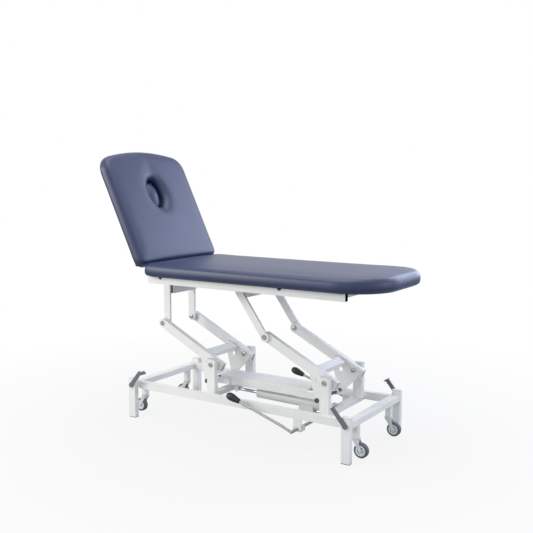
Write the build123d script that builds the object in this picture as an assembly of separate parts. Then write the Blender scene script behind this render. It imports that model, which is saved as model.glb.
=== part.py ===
from build123d import *
from math import sin, cos, radians, degrees, sqrt, atan2
import os

# Treatment table: a two-section couch on a foot-pumped parallelogram lift.
# Millimetres, +Z up. +X points to the foot end, -Y is the side with the near pump pedal.
# While building, X = 0 is the middle of the base and Z = 0 is the floor.

# Driving sizes of the base
BASE_L = 1258.0
BASE_W = 548.0
LEG_X = 41.0
LEG_Y = 26.0
LEG_H = 205.0
TUBE_WALL = 2.0
RAIL_WALL = 1.5
LEG_CAP_T = 4.0
GLIDE_T = 3.0
END_RAIL_H = 28.0
END_RAIL_Z = 168.0
SIDE_RAIL_Y = 27.0
SIDE_RAIL_H = 37.0
SIDE_RAIL_Z = 164.5
SIDE_RAIL_OUT = 240.0
CROSS_X = 41.0
CROSS_H = 22.0
CROSS_Z = 155.0
CROSS_BACK = 12.0

# Driving sizes of the lift linkage
HEAD_POST_X = -177.6
POST_PITCH = 629.2
POST_X = 46.0
POST_Y = 27.0
POST_OUT = 178.5
POST_TOP = 338.0
PIVOT_Z = 310.7
ARM_LEN = 372.0
ARM_ANGLE = 26.4
ARM_Y = 26.5
ARM_DEPTH = 45.0
ARM_TAIL = 45.0
ARM_OUT = 142.7
PIVOT_R = 8.0
BUSH_WALL = 2.0
RUN_FIT = 0.05
GAP = 0.5
SLIP = 0.3
CRANK_R = 125.4
CRANK_BACK = 33.94
CRANK_T = 10.0
UPRIGHT_T = 11.5

# Driving sizes of the top
COUCH_W = 620.0
PAD_TOP = 804.0
PAD_Z = 735.0
HEAD_PAD_Z = 741.5
SEAT_X0 = -497.0
SEAT_L = 1267.0
FOOT_CORNER_R = 218.0
SEAT_CORNER_R = 27.0
HEAD_CORNER_R = 38.0
BOARD_T = 12.0
ROLL_TOP = 28.0
ROLL_LOW = 24.0
HEAD_ROLL_LOW = 17.0
CROWN = 4.0
FRAME_W = 530.0
FRAME_X0 = -489.0
FRAME_X1 = 596.0
RAIL_T = 25.0
RAIL_H = 35.5
RAIL_Z0 = 699.0
HINGE_X = -512.5
HINGE_Z = 762.0
HEAD_LEN = 629.0
HEAD_ARCH = 114.0
HEAD_SHOULDER_R = 92.0
HEAD_RAISED = 64.0
HEAD_UP = 3.0
HEAD_DOWN = 78.0

FOOT_POST_X = HEAD_POST_X + POST_PITCH
SIDES = (-1, 1)
OVERCUT = 1.0
NODES = {}


def block(x0, x1, y0, y1, z0, z1):
    return Pos((x0 + x1) / 2, (y0 + y1) / 2, (z0 + z1) / 2) * Box(x1 - x0, abs(y1 - y0), z1 - z0)


def hollow_along_x(x0, x1, y0, y1, z0, z1, wall):
    return block(x0, x1, y0, y1, z0, z1) - block(
        x0 - OVERCUT, x1 + OVERCUT, y0 + wall, y1 - wall, z0 + wall, z1 - wall)


def hollow_along_y(x0, x1, y0, y1, z0, z1, wall):
    return block(x0, x1, y0, y1, z0, z1) - block(
        x0 + wall, x1 - wall, y0 - OVERCUT, y1 + OVERCUT, z0 + wall, z1 - wall)


def rod_x(x0, x1, y, z, r):
    return Pos((x0 + x1) / 2, y, z) * Rot(0, 90, 0) * Cylinder(r, x1 - x0)


def rod_y(x, y0, y1, z, r):
    return Pos(x, (y0 + y1) / 2, z) * Rot(90, 0, 0) * Cylinder(r, abs(y1 - y0))


def rod_z(x, y, z0, z1, r):
    return Pos(x, y, (z0 + z1) / 2) * Cylinder(r, z1 - z0)


def plate_xz(points, y0, y1):
    low, high = min(y0, y1), max(y0, y1)
    face = make_face(Polyline(*points, close=True))
    return Pos(0, high, 0) * extrude(Plane.XZ * face, amount=high - low)


def band(side, inner, outer):
    """The two Y limits of a piece between inner and outer on one side of the middle."""
    return side * inner, side * outer


def save(name, *shapes):
    """Add shapes to a named piece, which may gather several welded or like solids."""
    for shape in shapes:
        NODES.setdefault(name, []).extend(shape.solids())


def turned(shape, x, z, angle):
    """A shape built round the Y axis, turned about Y and set down with its pivot at x, z."""
    return Pos(x, 0, z) * Rot(0, angle, 0) * shape


# Base frame: four legs, end and side rails and two cross members, all welded square tube
LEG_MID_X = (BASE_L - LEG_X) / 2
LEG_MID_Y = (BASE_W - LEG_Y) / 2
LEG_IN_Y = BASE_W / 2 - LEG_Y
END_RAIL_IN = BASE_L / 2 - LEG_X
SIDE_RAIL_IN = SIDE_RAIL_OUT - SIDE_RAIL_Y
CROSS_TOP = CROSS_Z + CROSS_H / 2
HEAD_CROSS_X = HEAD_POST_X - CROSS_BACK
FOOT_CROSS_X = FOOT_POST_X - CROSS_BACK
CAP_LIP = 0.4
PLUG_IN = 9.0

# Castor lift, needed early because its axles pass through the legs and end rails
STEM_INSET = 102.0
STEM_Y = BASE_W / 2 - STEM_INSET
SLEEVE_W = 27.0
SLEEVE_BOTTOM = 97.0
STEM_W = 22.0
AXLE_R = 7.0
AXLE_BUSH_R = 9.5
BUSH_LIP = 1.5
BUSH_LIP_R = 12.0
CAM_HUB_R = 7.5
CAM_TIP_R = 4.0
CAM_REACH = 13.5
CAM_T = 8.0
CAM_SPARE = 2.5
CAM_SLOT_X = 17.0


def base_legs():
    legs = []
    for sx in SIDES:
        for sy in SIDES:
            outer = Pos(sx * LEG_MID_X, sy * LEG_MID_Y, 0) * Box(LEG_X, LEG_Y, LEG_H - LEG_CAP_T - GLIDE_T)
            inner = Pos(sx * LEG_MID_X, sy * LEG_MID_Y, 0) * Box(
                LEG_X - 2 * TUBE_WALL, LEG_Y - 2 * TUBE_WALL, LEG_H)
            leg = Pos(0, 0, (LEG_H - LEG_CAP_T + GLIDE_T) / 2) * (outer - inner)
            hole = rod_y(sx * LEG_MID_X, sy * (LEG_IN_Y - OVERCUT), sy * (BASE_W / 2 + OVERCUT),
                         END_RAIL_Z, AXLE_BUSH_R)
            legs.append(leg - hole)
    save("base_legs", *legs)


def leg_trim(name, z0, z1, plug_z0, plug_z1, lip):
    pieces = []
    for sx in SIDES:
        for sy in SIDES:
            x, y = sx * LEG_MID_X, sy * LEG_MID_Y
            head = Pos(x, y, (z0 + z1) / 2) * Box(LEG_X + 2 * lip, LEG_Y + 2 * lip, z1 - z0)
            plug = Pos(x, y, (plug_z0 + plug_z1) / 2) * Box(
                LEG_X - 2 * TUBE_WALL, LEG_Y - 2 * TUBE_WALL, plug_z1 - plug_z0)
            pieces.append(head + plug)
    save(name, *pieces)


def base_rails():
    ends = []
    for sx in SIDES:
        x0, x1 = sorted((sx * END_RAIL_IN, sx * BASE_L / 2))
        xm = (x0 + x1) / 2
        rail = Pos(xm, 0, END_RAIL_Z) * Box(LEG_X, 2 * LEG_IN_Y, END_RAIL_H)
        rail -= Pos(xm, 0, END_RAIL_Z) * Box(
            LEG_X - 2 * RAIL_WALL, 2 * LEG_IN_Y + OVERCUT, END_RAIL_H - 2 * RAIL_WALL)
        for sy in SIDES:
            slot_z = END_RAIL_Z - END_RAIL_H / 2
            rail -= Pos(xm, sy * STEM_Y, slot_z) * Box(
                CAM_SLOT_X * 2, STEM_W + 2 * SLIP, 2 * RAIL_WALL + OVERCUT)
        ends.append(rail)
    save("base_end_rails", *ends)
    sides = []
    for sy in SIDES:
        y = sy * (SIDE_RAIL_OUT - SIDE_RAIL_Y / 2)
        rail = Pos(0, y, SIDE_RAIL_Z) * Box(2 * END_RAIL_IN, SIDE_RAIL_Y, SIDE_RAIL_H)
        rail -= Pos(0, y, SIDE_RAIL_Z) * Box(
            2 * END_RAIL_IN + OVERCUT, SIDE_RAIL_Y - 2 * TUBE_WALL, SIDE_RAIL_H - 2 * TUBE_WALL)
        sides.append(rail)
    save("base_side_rails", *sides)
    crosses = []
    for x in (HEAD_CROSS_X, FOOT_CROSS_X):
        tube = Pos(x, 0, CROSS_Z) * Box(CROSS_X, 2 * SIDE_RAIL_IN, CROSS_H)
        tube -= Pos(x, 0, CROSS_Z) * Box(
            CROSS_X - 2 * TUBE_WALL, 2 * SIDE_RAIL_IN + OVERCUT, CROSS_H - 2 * TUBE_WALL)
        crosses.append(tube)
    save("base_cross_members", *crosses)


# Pivot posts: upright tubes on the cross members that carry the lift arms
POST_CAP_T = 4.0
POST_IN = POST_OUT - POST_Y
BOLT_HEAD_R = 12.0
BOLT_HEAD_T = 4.0
COLLAR_R = 13.0
NUT_T = 7.0


def pivot_posts():
    posts = []
    caps = []
    for x in (HEAD_POST_X, FOOT_POST_X):
        for sy in SIDES:
            y = sy * (POST_OUT - POST_Y / 2)
            z0, z1 = CROSS_TOP, POST_TOP - POST_CAP_T
            zm = (z0 + z1) / 2
            post = Pos(x, y, zm) * Box(POST_X, POST_Y, z1 - z0)
            post -= Pos(x, y, zm) * Box(POST_X - 2 * TUBE_WALL, POST_Y - 2 * TUBE_WALL, z1 - z0 + OVERCUT)
            post -= rod_y(x, sy * (POST_IN - OVERCUT), sy * (POST_OUT + OVERCUT), PIVOT_Z, PIVOT_R)
            posts.append(post)
            cap = Pos(x, y, z1 + POST_CAP_T / 2) * Box(POST_X + 2 * CAP_LIP, POST_Y + 2 * CAP_LIP, POST_CAP_T)
            plug = Pos(x, y, z1 - PLUG_IN / 2) * Box(
                POST_X - 2 * TUBE_WALL, POST_Y - 2 * TUBE_WALL, PLUG_IN)
            caps.append(cap + plug)
    save("pivot_posts", *posts)
    save("post_caps", *caps)


def bolt(x, z, side, head_at, tip_at):
    """A bolt along Y on one side: its head is outside head_at, and its tip is inboard at tip_at."""
    shank = rod_y(x, side * tip_at, side * head_at, z, PIVOT_R)
    head = rod_y(x, side * head_at, side * (head_at + BOLT_HEAD_T), z, BOLT_HEAD_R)
    return shank + fillet(head.edges().sort_by(Axis.Y)[0 if side < 0 else -1], BOLT_HEAD_T / 4)


def nut(x, z, side, face_at):
    """A hexagon nut whose outboard face is at face_at."""
    hexagon = Pos(x, side * (face_at - NUT_T / 2), z) * Rot(90, 0, 0) * extrude(
        RegularPolygon(BOLT_HEAD_R, 6), NUT_T / 2, both=True)
    return hexagon - rod_y(x, side * (face_at + OVERCUT), side * (face_at - NUT_T - OVERCUT), z, PIVOT_R)


ARM_IN = ARM_OUT - ARM_Y
CRANK_IN = ARM_IN - CRANK_T
LOWER_NUT_FACE = CRANK_IN - SLIP


def lower_pivot_bolts():
    pieces = []
    for x in (HEAD_POST_X, FOOT_POST_X):
        for sy in SIDES:
            pieces.append(bolt(x, PIVOT_Z, sy, POST_OUT, LOWER_NUT_FACE - NUT_T))
            pieces.append(nut(x, PIVOT_Z, sy, LOWER_NUT_FACE))
            collar = rod_y(x, sy * (ARM_OUT + SLIP), sy * POST_IN, PIVOT_Z, COLLAR_R)
            pieces.append(collar - rod_y(x, sy * ARM_IN, sy * POST_OUT, PIVOT_Z, PIVOT_R))
    save("lower_pivot_bolts", *pieces)


# Lift arms: open-ended tubes with welded bell-crank plates that the tie beam joins
UPPER_DX = -ARM_LEN * cos(radians(ARM_ANGLE))
UPPER_DZ = ARM_LEN * sin(radians(ARM_ANGLE))
CRANK_LOCAL = CRANK_BACK - ARM_ANGLE
CRANK_LX = -CRANK_R * sin(radians(CRANK_LOCAL))
CRANK_LZ = -CRANK_R * cos(radians(CRANK_LOCAL))
CRANK_DX = -CRANK_R * sin(radians(CRANK_BACK))
CRANK_DZ = -CRANK_R * cos(radians(CRANK_BACK))
CRANK_SHAFT_R = 8.0
CRANK_EYE_R = 14.0
CRANK_ALONG = 118.0
CRANK_TAIL = 34.0
CRANK_LAP = 8.0
LIGHT_HOLE_R = 11.0
LIGHT_HOLE_SHARES = ((-0.5, -0.27),)
ARM_TUBE_AT = 75.0
ARM_TUBE_W = 41.0
ARM_TUBE_H = 27.0
BUSH_R = PIVOT_R + RUN_FIT + BUSH_WALL
CRANK_BOLT_R = 11.0
CRANK_BOLT_T = 6.0
CRANK_OUT = ARM_IN + CRANK_BOLT_T


def arm_tube(side):
    y0, y1 = sorted(band(side, ARM_IN, ARM_OUT))
    half = ARM_DEPTH / 2
    bar = block(-ARM_LEN, ARM_TAIL, y0, y1, -half, half) + rod_y(-ARM_LEN, y0, y1, 0, half)
    bar -= block(-ARM_LEN + half, ARM_TAIL + OVERCUT, y0 + TUBE_WALL, y1 - TUBE_WALL,
                 -half + TUBE_WALL, half - TUBE_WALL)
    for x in (0, -ARM_LEN):
        bar -= rod_y(x, y0 - OVERCUT, y1 + OVERCUT, 0, BUSH_R)
    return bar


def arm_bushes(side):
    y0, y1 = sorted(band(side, ARM_IN, ARM_OUT))
    rings = []
    for x in (0, -ARM_LEN):
        rings.append(rod_y(x, y0, y1, 0, BUSH_R) - rod_y(x, y0 - OVERCUT, y1 + OVERCUT, 0, PIVOT_R + RUN_FIT))
    return rings


def crank_plate(side):
    outline = [(-CRANK_ALONG, CRANK_LAP), (CRANK_TAIL, CRANK_LAP), (CRANK_TAIL, -ARM_DEPTH / 2),
               (CRANK_LX + CRANK_EYE_R, CRANK_LZ), (CRANK_LX - CRANK_EYE_R, CRANK_LZ),
               (-CRANK_ALONG, -ARM_DEPTH / 2)]
    y0, y1 = sorted(band(side, CRANK_IN, ARM_IN))
    plate = plate_xz(outline, y0, y1) + rod_y(CRANK_LX, y0, y1, CRANK_LZ, CRANK_EYE_R)
    plate -= rod_y(0, y0 - OVERCUT, y1 + OVERCUT, 0, PIVOT_R + SLIP)
    plate -= rod_y(CRANK_LX, y0 - OVERCUT, y1 + OVERCUT, CRANK_LZ, CRANK_SHAFT_R)
    for share in LIGHT_HOLE_SHARES:
        plate -= rod_y(share[0] * CRANK_ALONG, y0 - OVERCUT, y1 + OVERCUT, share[1] * CRANK_R, LIGHT_HOLE_R)
    return plate


def crank_shaft():
    shaft = rod_y(CRANK_LX, -CRANK_OUT, CRANK_OUT, CRANK_LZ, CRANK_SHAFT_R)
    for sy in SIDES:
        shaft += rod_y(CRANK_LX, sy * ARM_IN, sy * CRANK_OUT, CRANK_LZ, CRANK_BOLT_R)
    return shaft


def lift_arms(prefix, x):
    def place(shape):
        return turned(shape, x, PIVOT_Z, ARM_ANGLE)
    tubes = [place(arm_tube(sy)) for sy in SIDES]
    cross = hollow_along_y(-ARM_TUBE_AT - ARM_TUBE_W / 2, -ARM_TUBE_AT + ARM_TUBE_W / 2,
                           -CRANK_IN, CRANK_IN, -ARM_TUBE_H / 2, ARM_TUBE_H / 2, TUBE_WALL)
    save(prefix + "_arms", *tubes)
    save(prefix + "_arms", place(cross))
    save(prefix + "_arm_bushes", *[place(ring) for sy in SIDES for ring in arm_bushes(sy)])
    save(prefix + "_crank_plates", *[place(crank_plate(sy)) for sy in SIDES])
    save(prefix + "_crank_shaft", place(crank_shaft()))


# Tie beam: an inverted channel that joins the two cranks, with the ram's front bracket under it
BEAM_HALF_Y = 60.0
BEAM_T = 3.0
BEAM_UP = 27.0
BEAM_DROP = 16.0
BEAM_X0 = -205.0
BEAM_X1 = 300.0
LUG_T = 8.0
LUG_R = 15.0
LUG_REACH = 60.0
RAM_REAR_X = 395.0
RAM_REAR_Z = 150.0
RAM_FRONT_X = -138.0
RAM_FRONT_Z = 158.0
RAM_PIN_R = 6.0
BRACKET_IN = 14.5
BRACKET_T = 5.0
BRACKET_HALF_X = 12.0
CRANK_Z = PIVOT_Z + CRANK_DZ
BEAM_TOP = CRANK_Z + BEAM_UP
BEAM_LOW = CRANK_Z - BEAM_DROP


def tie_beam():
    channel = block(BEAM_X0, BEAM_X1, -BEAM_HALF_Y, BEAM_HALF_Y, BEAM_LOW, BEAM_TOP)
    channel -= block(BEAM_X0 - OVERCUT, BEAM_X1 + OVERCUT, -BEAM_HALF_Y + BEAM_T, BEAM_HALF_Y - BEAM_T,
                     BEAM_LOW - OVERCUT, BEAM_TOP - BEAM_T)
    save("tie_beam_channel", channel)
    lugs = []
    for x_pin, x_root in ((HEAD_POST_X + CRANK_DX, BEAM_X0 + LUG_REACH),
                          (FOOT_POST_X + CRANK_DX, BEAM_X1 - LUG_REACH)):
        for sy in SIDES:
            y0, y1 = sorted(band(sy, BEAM_HALF_Y, BEAM_HALF_Y + LUG_T))
            x0, x1 = sorted((x_pin, x_root))
            lug = block(x0, x1, y0, y1, CRANK_Z - LUG_R, CRANK_Z + LUG_R)
            lug += rod_y(x_pin, y0, y1, CRANK_Z, LUG_R)
            lug -= rod_y(x_pin, y0 - OVERCUT, y1 + OVERCUT, CRANK_Z, CRANK_SHAFT_R + RUN_FIT)
            lugs.append(lug)
    save("tie_beam_lugs", *lugs)
    bracket = []
    for sy in SIDES:
        y0, y1 = sorted(band(sy, BRACKET_IN, BRACKET_IN + BRACKET_T))
        cheek = block(RAM_FRONT_X - BRACKET_HALF_X, RAM_FRONT_X + BRACKET_HALF_X, y0, y1,
                      RAM_FRONT_Z, BEAM_TOP - BEAM_T)
        cheek += rod_y(RAM_FRONT_X, y0, y1, RAM_FRONT_Z, BRACKET_HALF_X)
        bracket.append(cheek - rod_y(RAM_FRONT_X, y0 - OVERCUT, y1 + OVERCUT, RAM_FRONT_Z, RAM_PIN_R))
    reach = BRACKET_IN + BRACKET_T
    bracket.append(rod_y(RAM_FRONT_X, -reach, reach, RAM_FRONT_Z, RAM_PIN_R))
    save("tie_beam_lugs", *bracket)


# Hydraulic ram with its pump block, lying between the rear clevis and the tie beam
RAM_R = 25.0
RAM_WALL = 2.0
RAM_FACE_X = -15.0
RAM_BACK = 14.0
ROD_R = 8.0
ROD_EYE_R = 11.0
ROD_EYE_HALF = 13.0
ROD_INSIDE = 260.0
EYE_R = 12.0
EYE_HALF = 13.0
CLEVIS_T = 8.0
RAM_ANGLE = degrees(atan2(RAM_FRONT_Z - RAM_REAR_Z, RAM_REAR_X - RAM_FRONT_X))
RAM_SPAN = sqrt((RAM_REAR_X - RAM_FRONT_X) ** 2 + (RAM_FRONT_Z - RAM_REAR_Z) ** 2)
PUMP_W = 46.0
PUMP_X0 = 88.0
PUMP_X1 = 165.0
PUMP_H = 36.0
PLUNGER_R = 6.0
PLUNGER_OUT = 28.0
PLUNGER_IN = 40.0
PLUNGER_DROP = 11.0
PLUNGER_HEAD_R = 8.0
PLUNGER_HEAD_T = 3.0
PLUNGER_STROKE = 6.0


def ram():
    """Built along -X from the rear pin, then turned to the ram's slope."""
    def place(shape):
        return turned(shape, RAM_REAR_X, RAM_REAR_Z, RAM_ANGLE)
    length = RAM_REAR_X - RAM_FACE_X
    barrel = rod_x(-length, -RAM_BACK, 0, 0, RAM_R)
    barrel -= rod_x(-length - OVERCUT, -RAM_BACK - RAM_WALL * 4, 0, 0, RAM_R - RAM_WALL)
    barrel += block(-RAM_BACK - RAM_WALL, 0, -EYE_HALF, EYE_HALF, -EYE_R, EYE_R)
    barrel += rod_y(0, -EYE_HALF, EYE_HALF, 0, EYE_R)
    barrel -= rod_y(0, -EYE_HALF - OVERCUT, EYE_HALF + OVERCUT, 0, RAM_PIN_R + RUN_FIT)
    save("ram_cylinder", place(barrel))
    body = block(-PUMP_X1, -PUMP_X0, -PUMP_W / 2, PUMP_W / 2, -RAM_R - PUMP_H, 0)
    body -= rod_x(-PUMP_X1 - OVERCUT, -PUMP_X0 + OVERCUT, 0, 0, RAM_R)
    axis_z = -RAM_R - PLUNGER_DROP
    inner_end = -PUMP_X0 - PLUNGER_IN
    bore = rod_x(inner_end - PLUNGER_STROKE - SLIP, -PUMP_X0 + OVERCUT, 0, axis_z, PLUNGER_R + RUN_FIT)
    save("pump_body", place(body - bore))
    outer_end = -PUMP_X0 + PLUNGER_OUT
    plunger = rod_x(inner_end, outer_end, 0, axis_z, PLUNGER_R)
    plunger += rod_x(outer_end, outer_end + PLUNGER_HEAD_T, 0, axis_z, PLUNGER_HEAD_R)
    save("pump_plunger", place(plunger))
    rod = rod_x(-RAM_SPAN, -RAM_SPAN + ROD_INSIDE, 0, 0, ROD_R)
    rod += rod_y(-RAM_SPAN, -ROD_EYE_HALF, ROD_EYE_HALF, 0, ROD_EYE_R)
    rod -= rod_y(-RAM_SPAN, -ROD_EYE_HALF - OVERCUT, ROD_EYE_HALF + OVERCUT, 0, RAM_PIN_R + RUN_FIT)
    save("ram_rod", place(rod))


def rear_clevis():
    ears = []
    face = FOOT_CROSS_X - CROSS_X / 2
    for sy in SIDES:
        y0, y1 = sorted(band(sy, EYE_HALF + GAP, EYE_HALF + GAP + CLEVIS_T))
        ear = block(RAM_REAR_X, face, y0, y1, CROSS_Z - CROSS_H / 2, CROSS_TOP)
        ear += rod_y(RAM_REAR_X, y0, y1, RAM_REAR_Z, EYE_R)
        ears.append(ear - rod_y(RAM_REAR_X, y0 - OVERCUT, y1 + OVERCUT, RAM_REAR_Z, RAM_PIN_R))
    reach = EYE_HALF + GAP + CLEVIS_T
    ears.append(rod_y(RAM_REAR_X, -reach, reach, RAM_REAR_Z, RAM_PIN_R))
    save("ram_rear_clevis", *ears)


# Pump bar: one bent bar across the base, with a grip on each side and a finger that works the pump
SHAFT_X = 350.0
SHAFT_Z = 100.0
SHAFT_R = 7.0
BAR_R = 6.0
BAR_Y = 290.0
BEND_X = 300.0
BEND_Z = 120.0
GRIP_X = 18.0
GRIP_Z = 212.0
GRIP_LEN = 70.0
GRIP_R = 15.0
FINGER_H = 20.0
FINGER_T = 14.0
FINGER_W = 16.0
BEARING_X = 41.0
BEARING_Z = 21.0
BEARING_Y = 36.0
HANGER_T = 6.0


def pump_bar():
    run = Vector(GRIP_X - BEND_X, 0, GRIP_Z - BEND_Z)
    end = Vector(BEND_X, 0, BEND_Z) + run
    bar = rod_y(SHAFT_X, -BAR_Y, BAR_Y, SHAFT_Z, SHAFT_R)
    for sy in SIDES:
        path = FilletPolyline((SHAFT_X, sy * BAR_Y, SHAFT_Z), (BEND_X, sy * BAR_Y, BEND_Z),
                              (end.X, sy * BAR_Y, end.Z), radius=BAR_R * 4)
        start = Plane(origin=path @ 0, z_dir=path % 0)
        bar += sweep(start * Circle(BAR_R), path=path)
        bar += Pos(SHAFT_X, sy * BAR_Y, SHAFT_Z) * Sphere(SHAFT_R)
    bar += block(SHAFT_X - FINGER_T / 2, SHAFT_X + FINGER_T / 2, -FINGER_W / 2, FINGER_W / 2,
                 SHAFT_Z, SHAFT_Z + FINGER_H)
    save("pump_bar", bar)
    grips = []
    along = run.normalized()
    for sy in SIDES:
        tip = Vector(end.X, sy * BAR_Y, end.Z) + along * (BAR_R * 2)
        plane = Plane(origin=tip, z_dir=-along)
        grip = plane * Pos(0, 0, GRIP_LEN / 2) * Cylinder(GRIP_R, GRIP_LEN)
        grip = fillet(grip.edges().filter_by(GeomType.CIRCLE), GRIP_R / 2)
        grips.append(grip - plane * Pos(0, 0, BAR_R * 2 + GRIP_LEN / 2) * Cylinder(BAR_R, GRIP_LEN))
    save("pump_grips", *grips)


def pump_bearings():
    bearings = []
    for sy in SIDES:
        y0, y1 = sorted(band(sy, SIDE_RAIL_OUT - BEARING_Y, SIDE_RAIL_OUT))
        h0, h1 = sorted(band(sy, SIDE_RAIL_OUT - HANGER_T, SIDE_RAIL_OUT))
        shell = block(SHAFT_X - BEARING_X / 2, SHAFT_X + BEARING_X / 2, y0, y1,
                      SHAFT_Z - BEARING_Z / 2, SHAFT_Z + BEARING_Z / 2)
        shell += block(SHAFT_X - BEARING_X / 2, SHAFT_X + BEARING_X / 2, h0, h1,
                       SHAFT_Z, SIDE_RAIL_Z - SIDE_RAIL_H / 2)
        bearings.append(shell - rod_y(SHAFT_X, y0 - OVERCUT, y1 + OVERCUT, SHAFT_Z, SHAFT_R + RUN_FIT))
    save("pump_bearings", *bearings)


# Castor lift: a pedal axle with cams in each end rail presses two stems down through sleeves
LEVER_LEN = 97.0
LEVER_LEAN = 40.0
LEVER_W = 20.0
LEVER_T = 6.0
PAD_W = 36.0
PAD_H = 23.0
PAD_TH = 5.0
LEVER_IN = BASE_W / 2 + BUSH_LIP + SLIP
STEM_TOP = END_RAIL_Z - CAM_HUB_R - CAM_SPARE
HOUSING_R = 20.0
HOUSING_H = 7.0
STEM_BOTTOM = SLEEVE_BOTTOM - 2.0 * SLIP
WHEEL_R = 33.0
TYRE_T = 9.0
WHEEL_W = 24.0
WHEEL_CLEAR = 5.0
WHEEL_Z = WHEEL_R + WHEEL_CLEAR
TRAIL = 27.0
FORK_T = 2.5
FORK_TOP = STEM_BOTTOM - HOUSING_H - SLIP
CROWN_T = 4.0
SWIVEL_R = 5.0
SWIVEL_UP = 18.0
CASTOR_AXLE_R = 4.0
AXLE_HEAD_R = 6.75
GUARD_R = 8.0
ENDS = (("head", -1), ("foot", 1))
CASTORS = (("head_near", -1, -1), ("head_far", -1, 1), ("foot_near", 1, -1), ("foot_far", 1, 1))


def axle_bushes():
    rings = []
    for sx in SIDES:
        for sy in SIDES:
            x = sx * LEG_MID_X
            ring = rod_y(x, sy * LEG_IN_Y, sy * BASE_W / 2, END_RAIL_Z, AXLE_BUSH_R)
            ring += rod_y(x, sy * BASE_W / 2, sy * (BASE_W / 2 + BUSH_LIP), END_RAIL_Z, BUSH_LIP_R)
            ring -= rod_y(x, sy * (LEG_IN_Y - OVERCUT), sy * (BASE_W / 2 + BUSH_LIP + OVERCUT),
                          END_RAIL_Z, AXLE_R + RUN_FIT)
            rings.append(ring)
    save("pedal_axle_bushes", *rings)


def castor_sleeves():
    sleeves = []
    top = END_RAIL_Z - END_RAIL_H / 2
    for sx in SIDES:
        for sy in SIDES:
            zm = (top + SLEEVE_BOTTOM) / 2
            tube = Pos(sx * LEG_MID_X, sy * STEM_Y, zm) * Box(SLEEVE_W, SLEEVE_W, top - SLEEVE_BOTTOM)
            hole = STEM_W + 2 * SLIP
            sleeves.append(tube - Pos(sx * LEG_MID_X, sy * STEM_Y, zm) * Box(
                hole, hole, top - SLEEVE_BOTTOM + OVERCUT))
    save("base_end_rails", *sleeves)


def pedal_axle(end, sx):
    x = sx * LEG_MID_X
    reach = LEVER_IN + LEVER_T
    axle = rod_y(x, -reach, reach, END_RAIL_Z, AXLE_R)
    for sy in SIDES:
        y0, y1 = sorted((sy * STEM_Y - CAM_T / 2, sy * STEM_Y + CAM_T / 2))
        cam = rod_y(0, y0, y1, 0, CAM_HUB_R) + rod_y(sx * CAM_REACH, y0, y1, 0, CAM_TIP_R)
        cam += plate_xz([(0, CAM_TIP_R), (sx * CAM_REACH, CAM_TIP_R),
                         (sx * CAM_REACH, -CAM_TIP_R), (0, -CAM_TIP_R)], y0, y1)
        axle += turned(cam, x, END_RAIL_Z, 0)
    save(end + "_pedal_axle", axle)
    levers = []
    lean = -sx * LEVER_LEAN
    for sy in SIDES:
        y0, y1 = sorted(band(sy, LEVER_IN, LEVER_IN + LEVER_T))
        p0, p1 = sorted(band(sy, LEVER_IN + LEVER_T - PAD_W, LEVER_IN + LEVER_T))
        arm = block(-LEVER_W / 2, LEVER_W / 2, y0, y1, 0, LEVER_LEN) + rod_y(0, y0, y1, 0, AXLE_R + PAD_TH)
        arm += block(-PAD_TH / 2, PAD_TH / 2 + PAD_H - LEVER_W / 2, p0, p1, LEVER_LEN - PAD_TH, LEVER_LEN)
        arm -= rod_y(0, y0 - OVERCUT, y1 + OVERCUT, 0, AXLE_R)
        levers.append(turned(arm, x, END_RAIL_Z, lean))
    save(end + "_pedal_axle", *levers)


def castor_stems(end, sx):
    stems = []
    for sy in SIDES:
        x, y = sx * LEG_MID_X, sy * STEM_Y
        stem = Pos(x, y, (STEM_TOP + STEM_BOTTOM) / 2) * Box(STEM_W, STEM_W, STEM_TOP - STEM_BOTTOM)
        stem += rod_z(x, y, STEM_BOTTOM - HOUSING_H, STEM_BOTTOM, HOUSING_R)
        stem -= rod_z(x, y, STEM_BOTTOM - HOUSING_H - OVERCUT, STEM_BOTTOM + SWIVEL_UP + SLIP,
                      SWIVEL_R + RUN_FIT)
        stems.append(stem)
    save(end + "_castor_stems", *stems)


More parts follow.
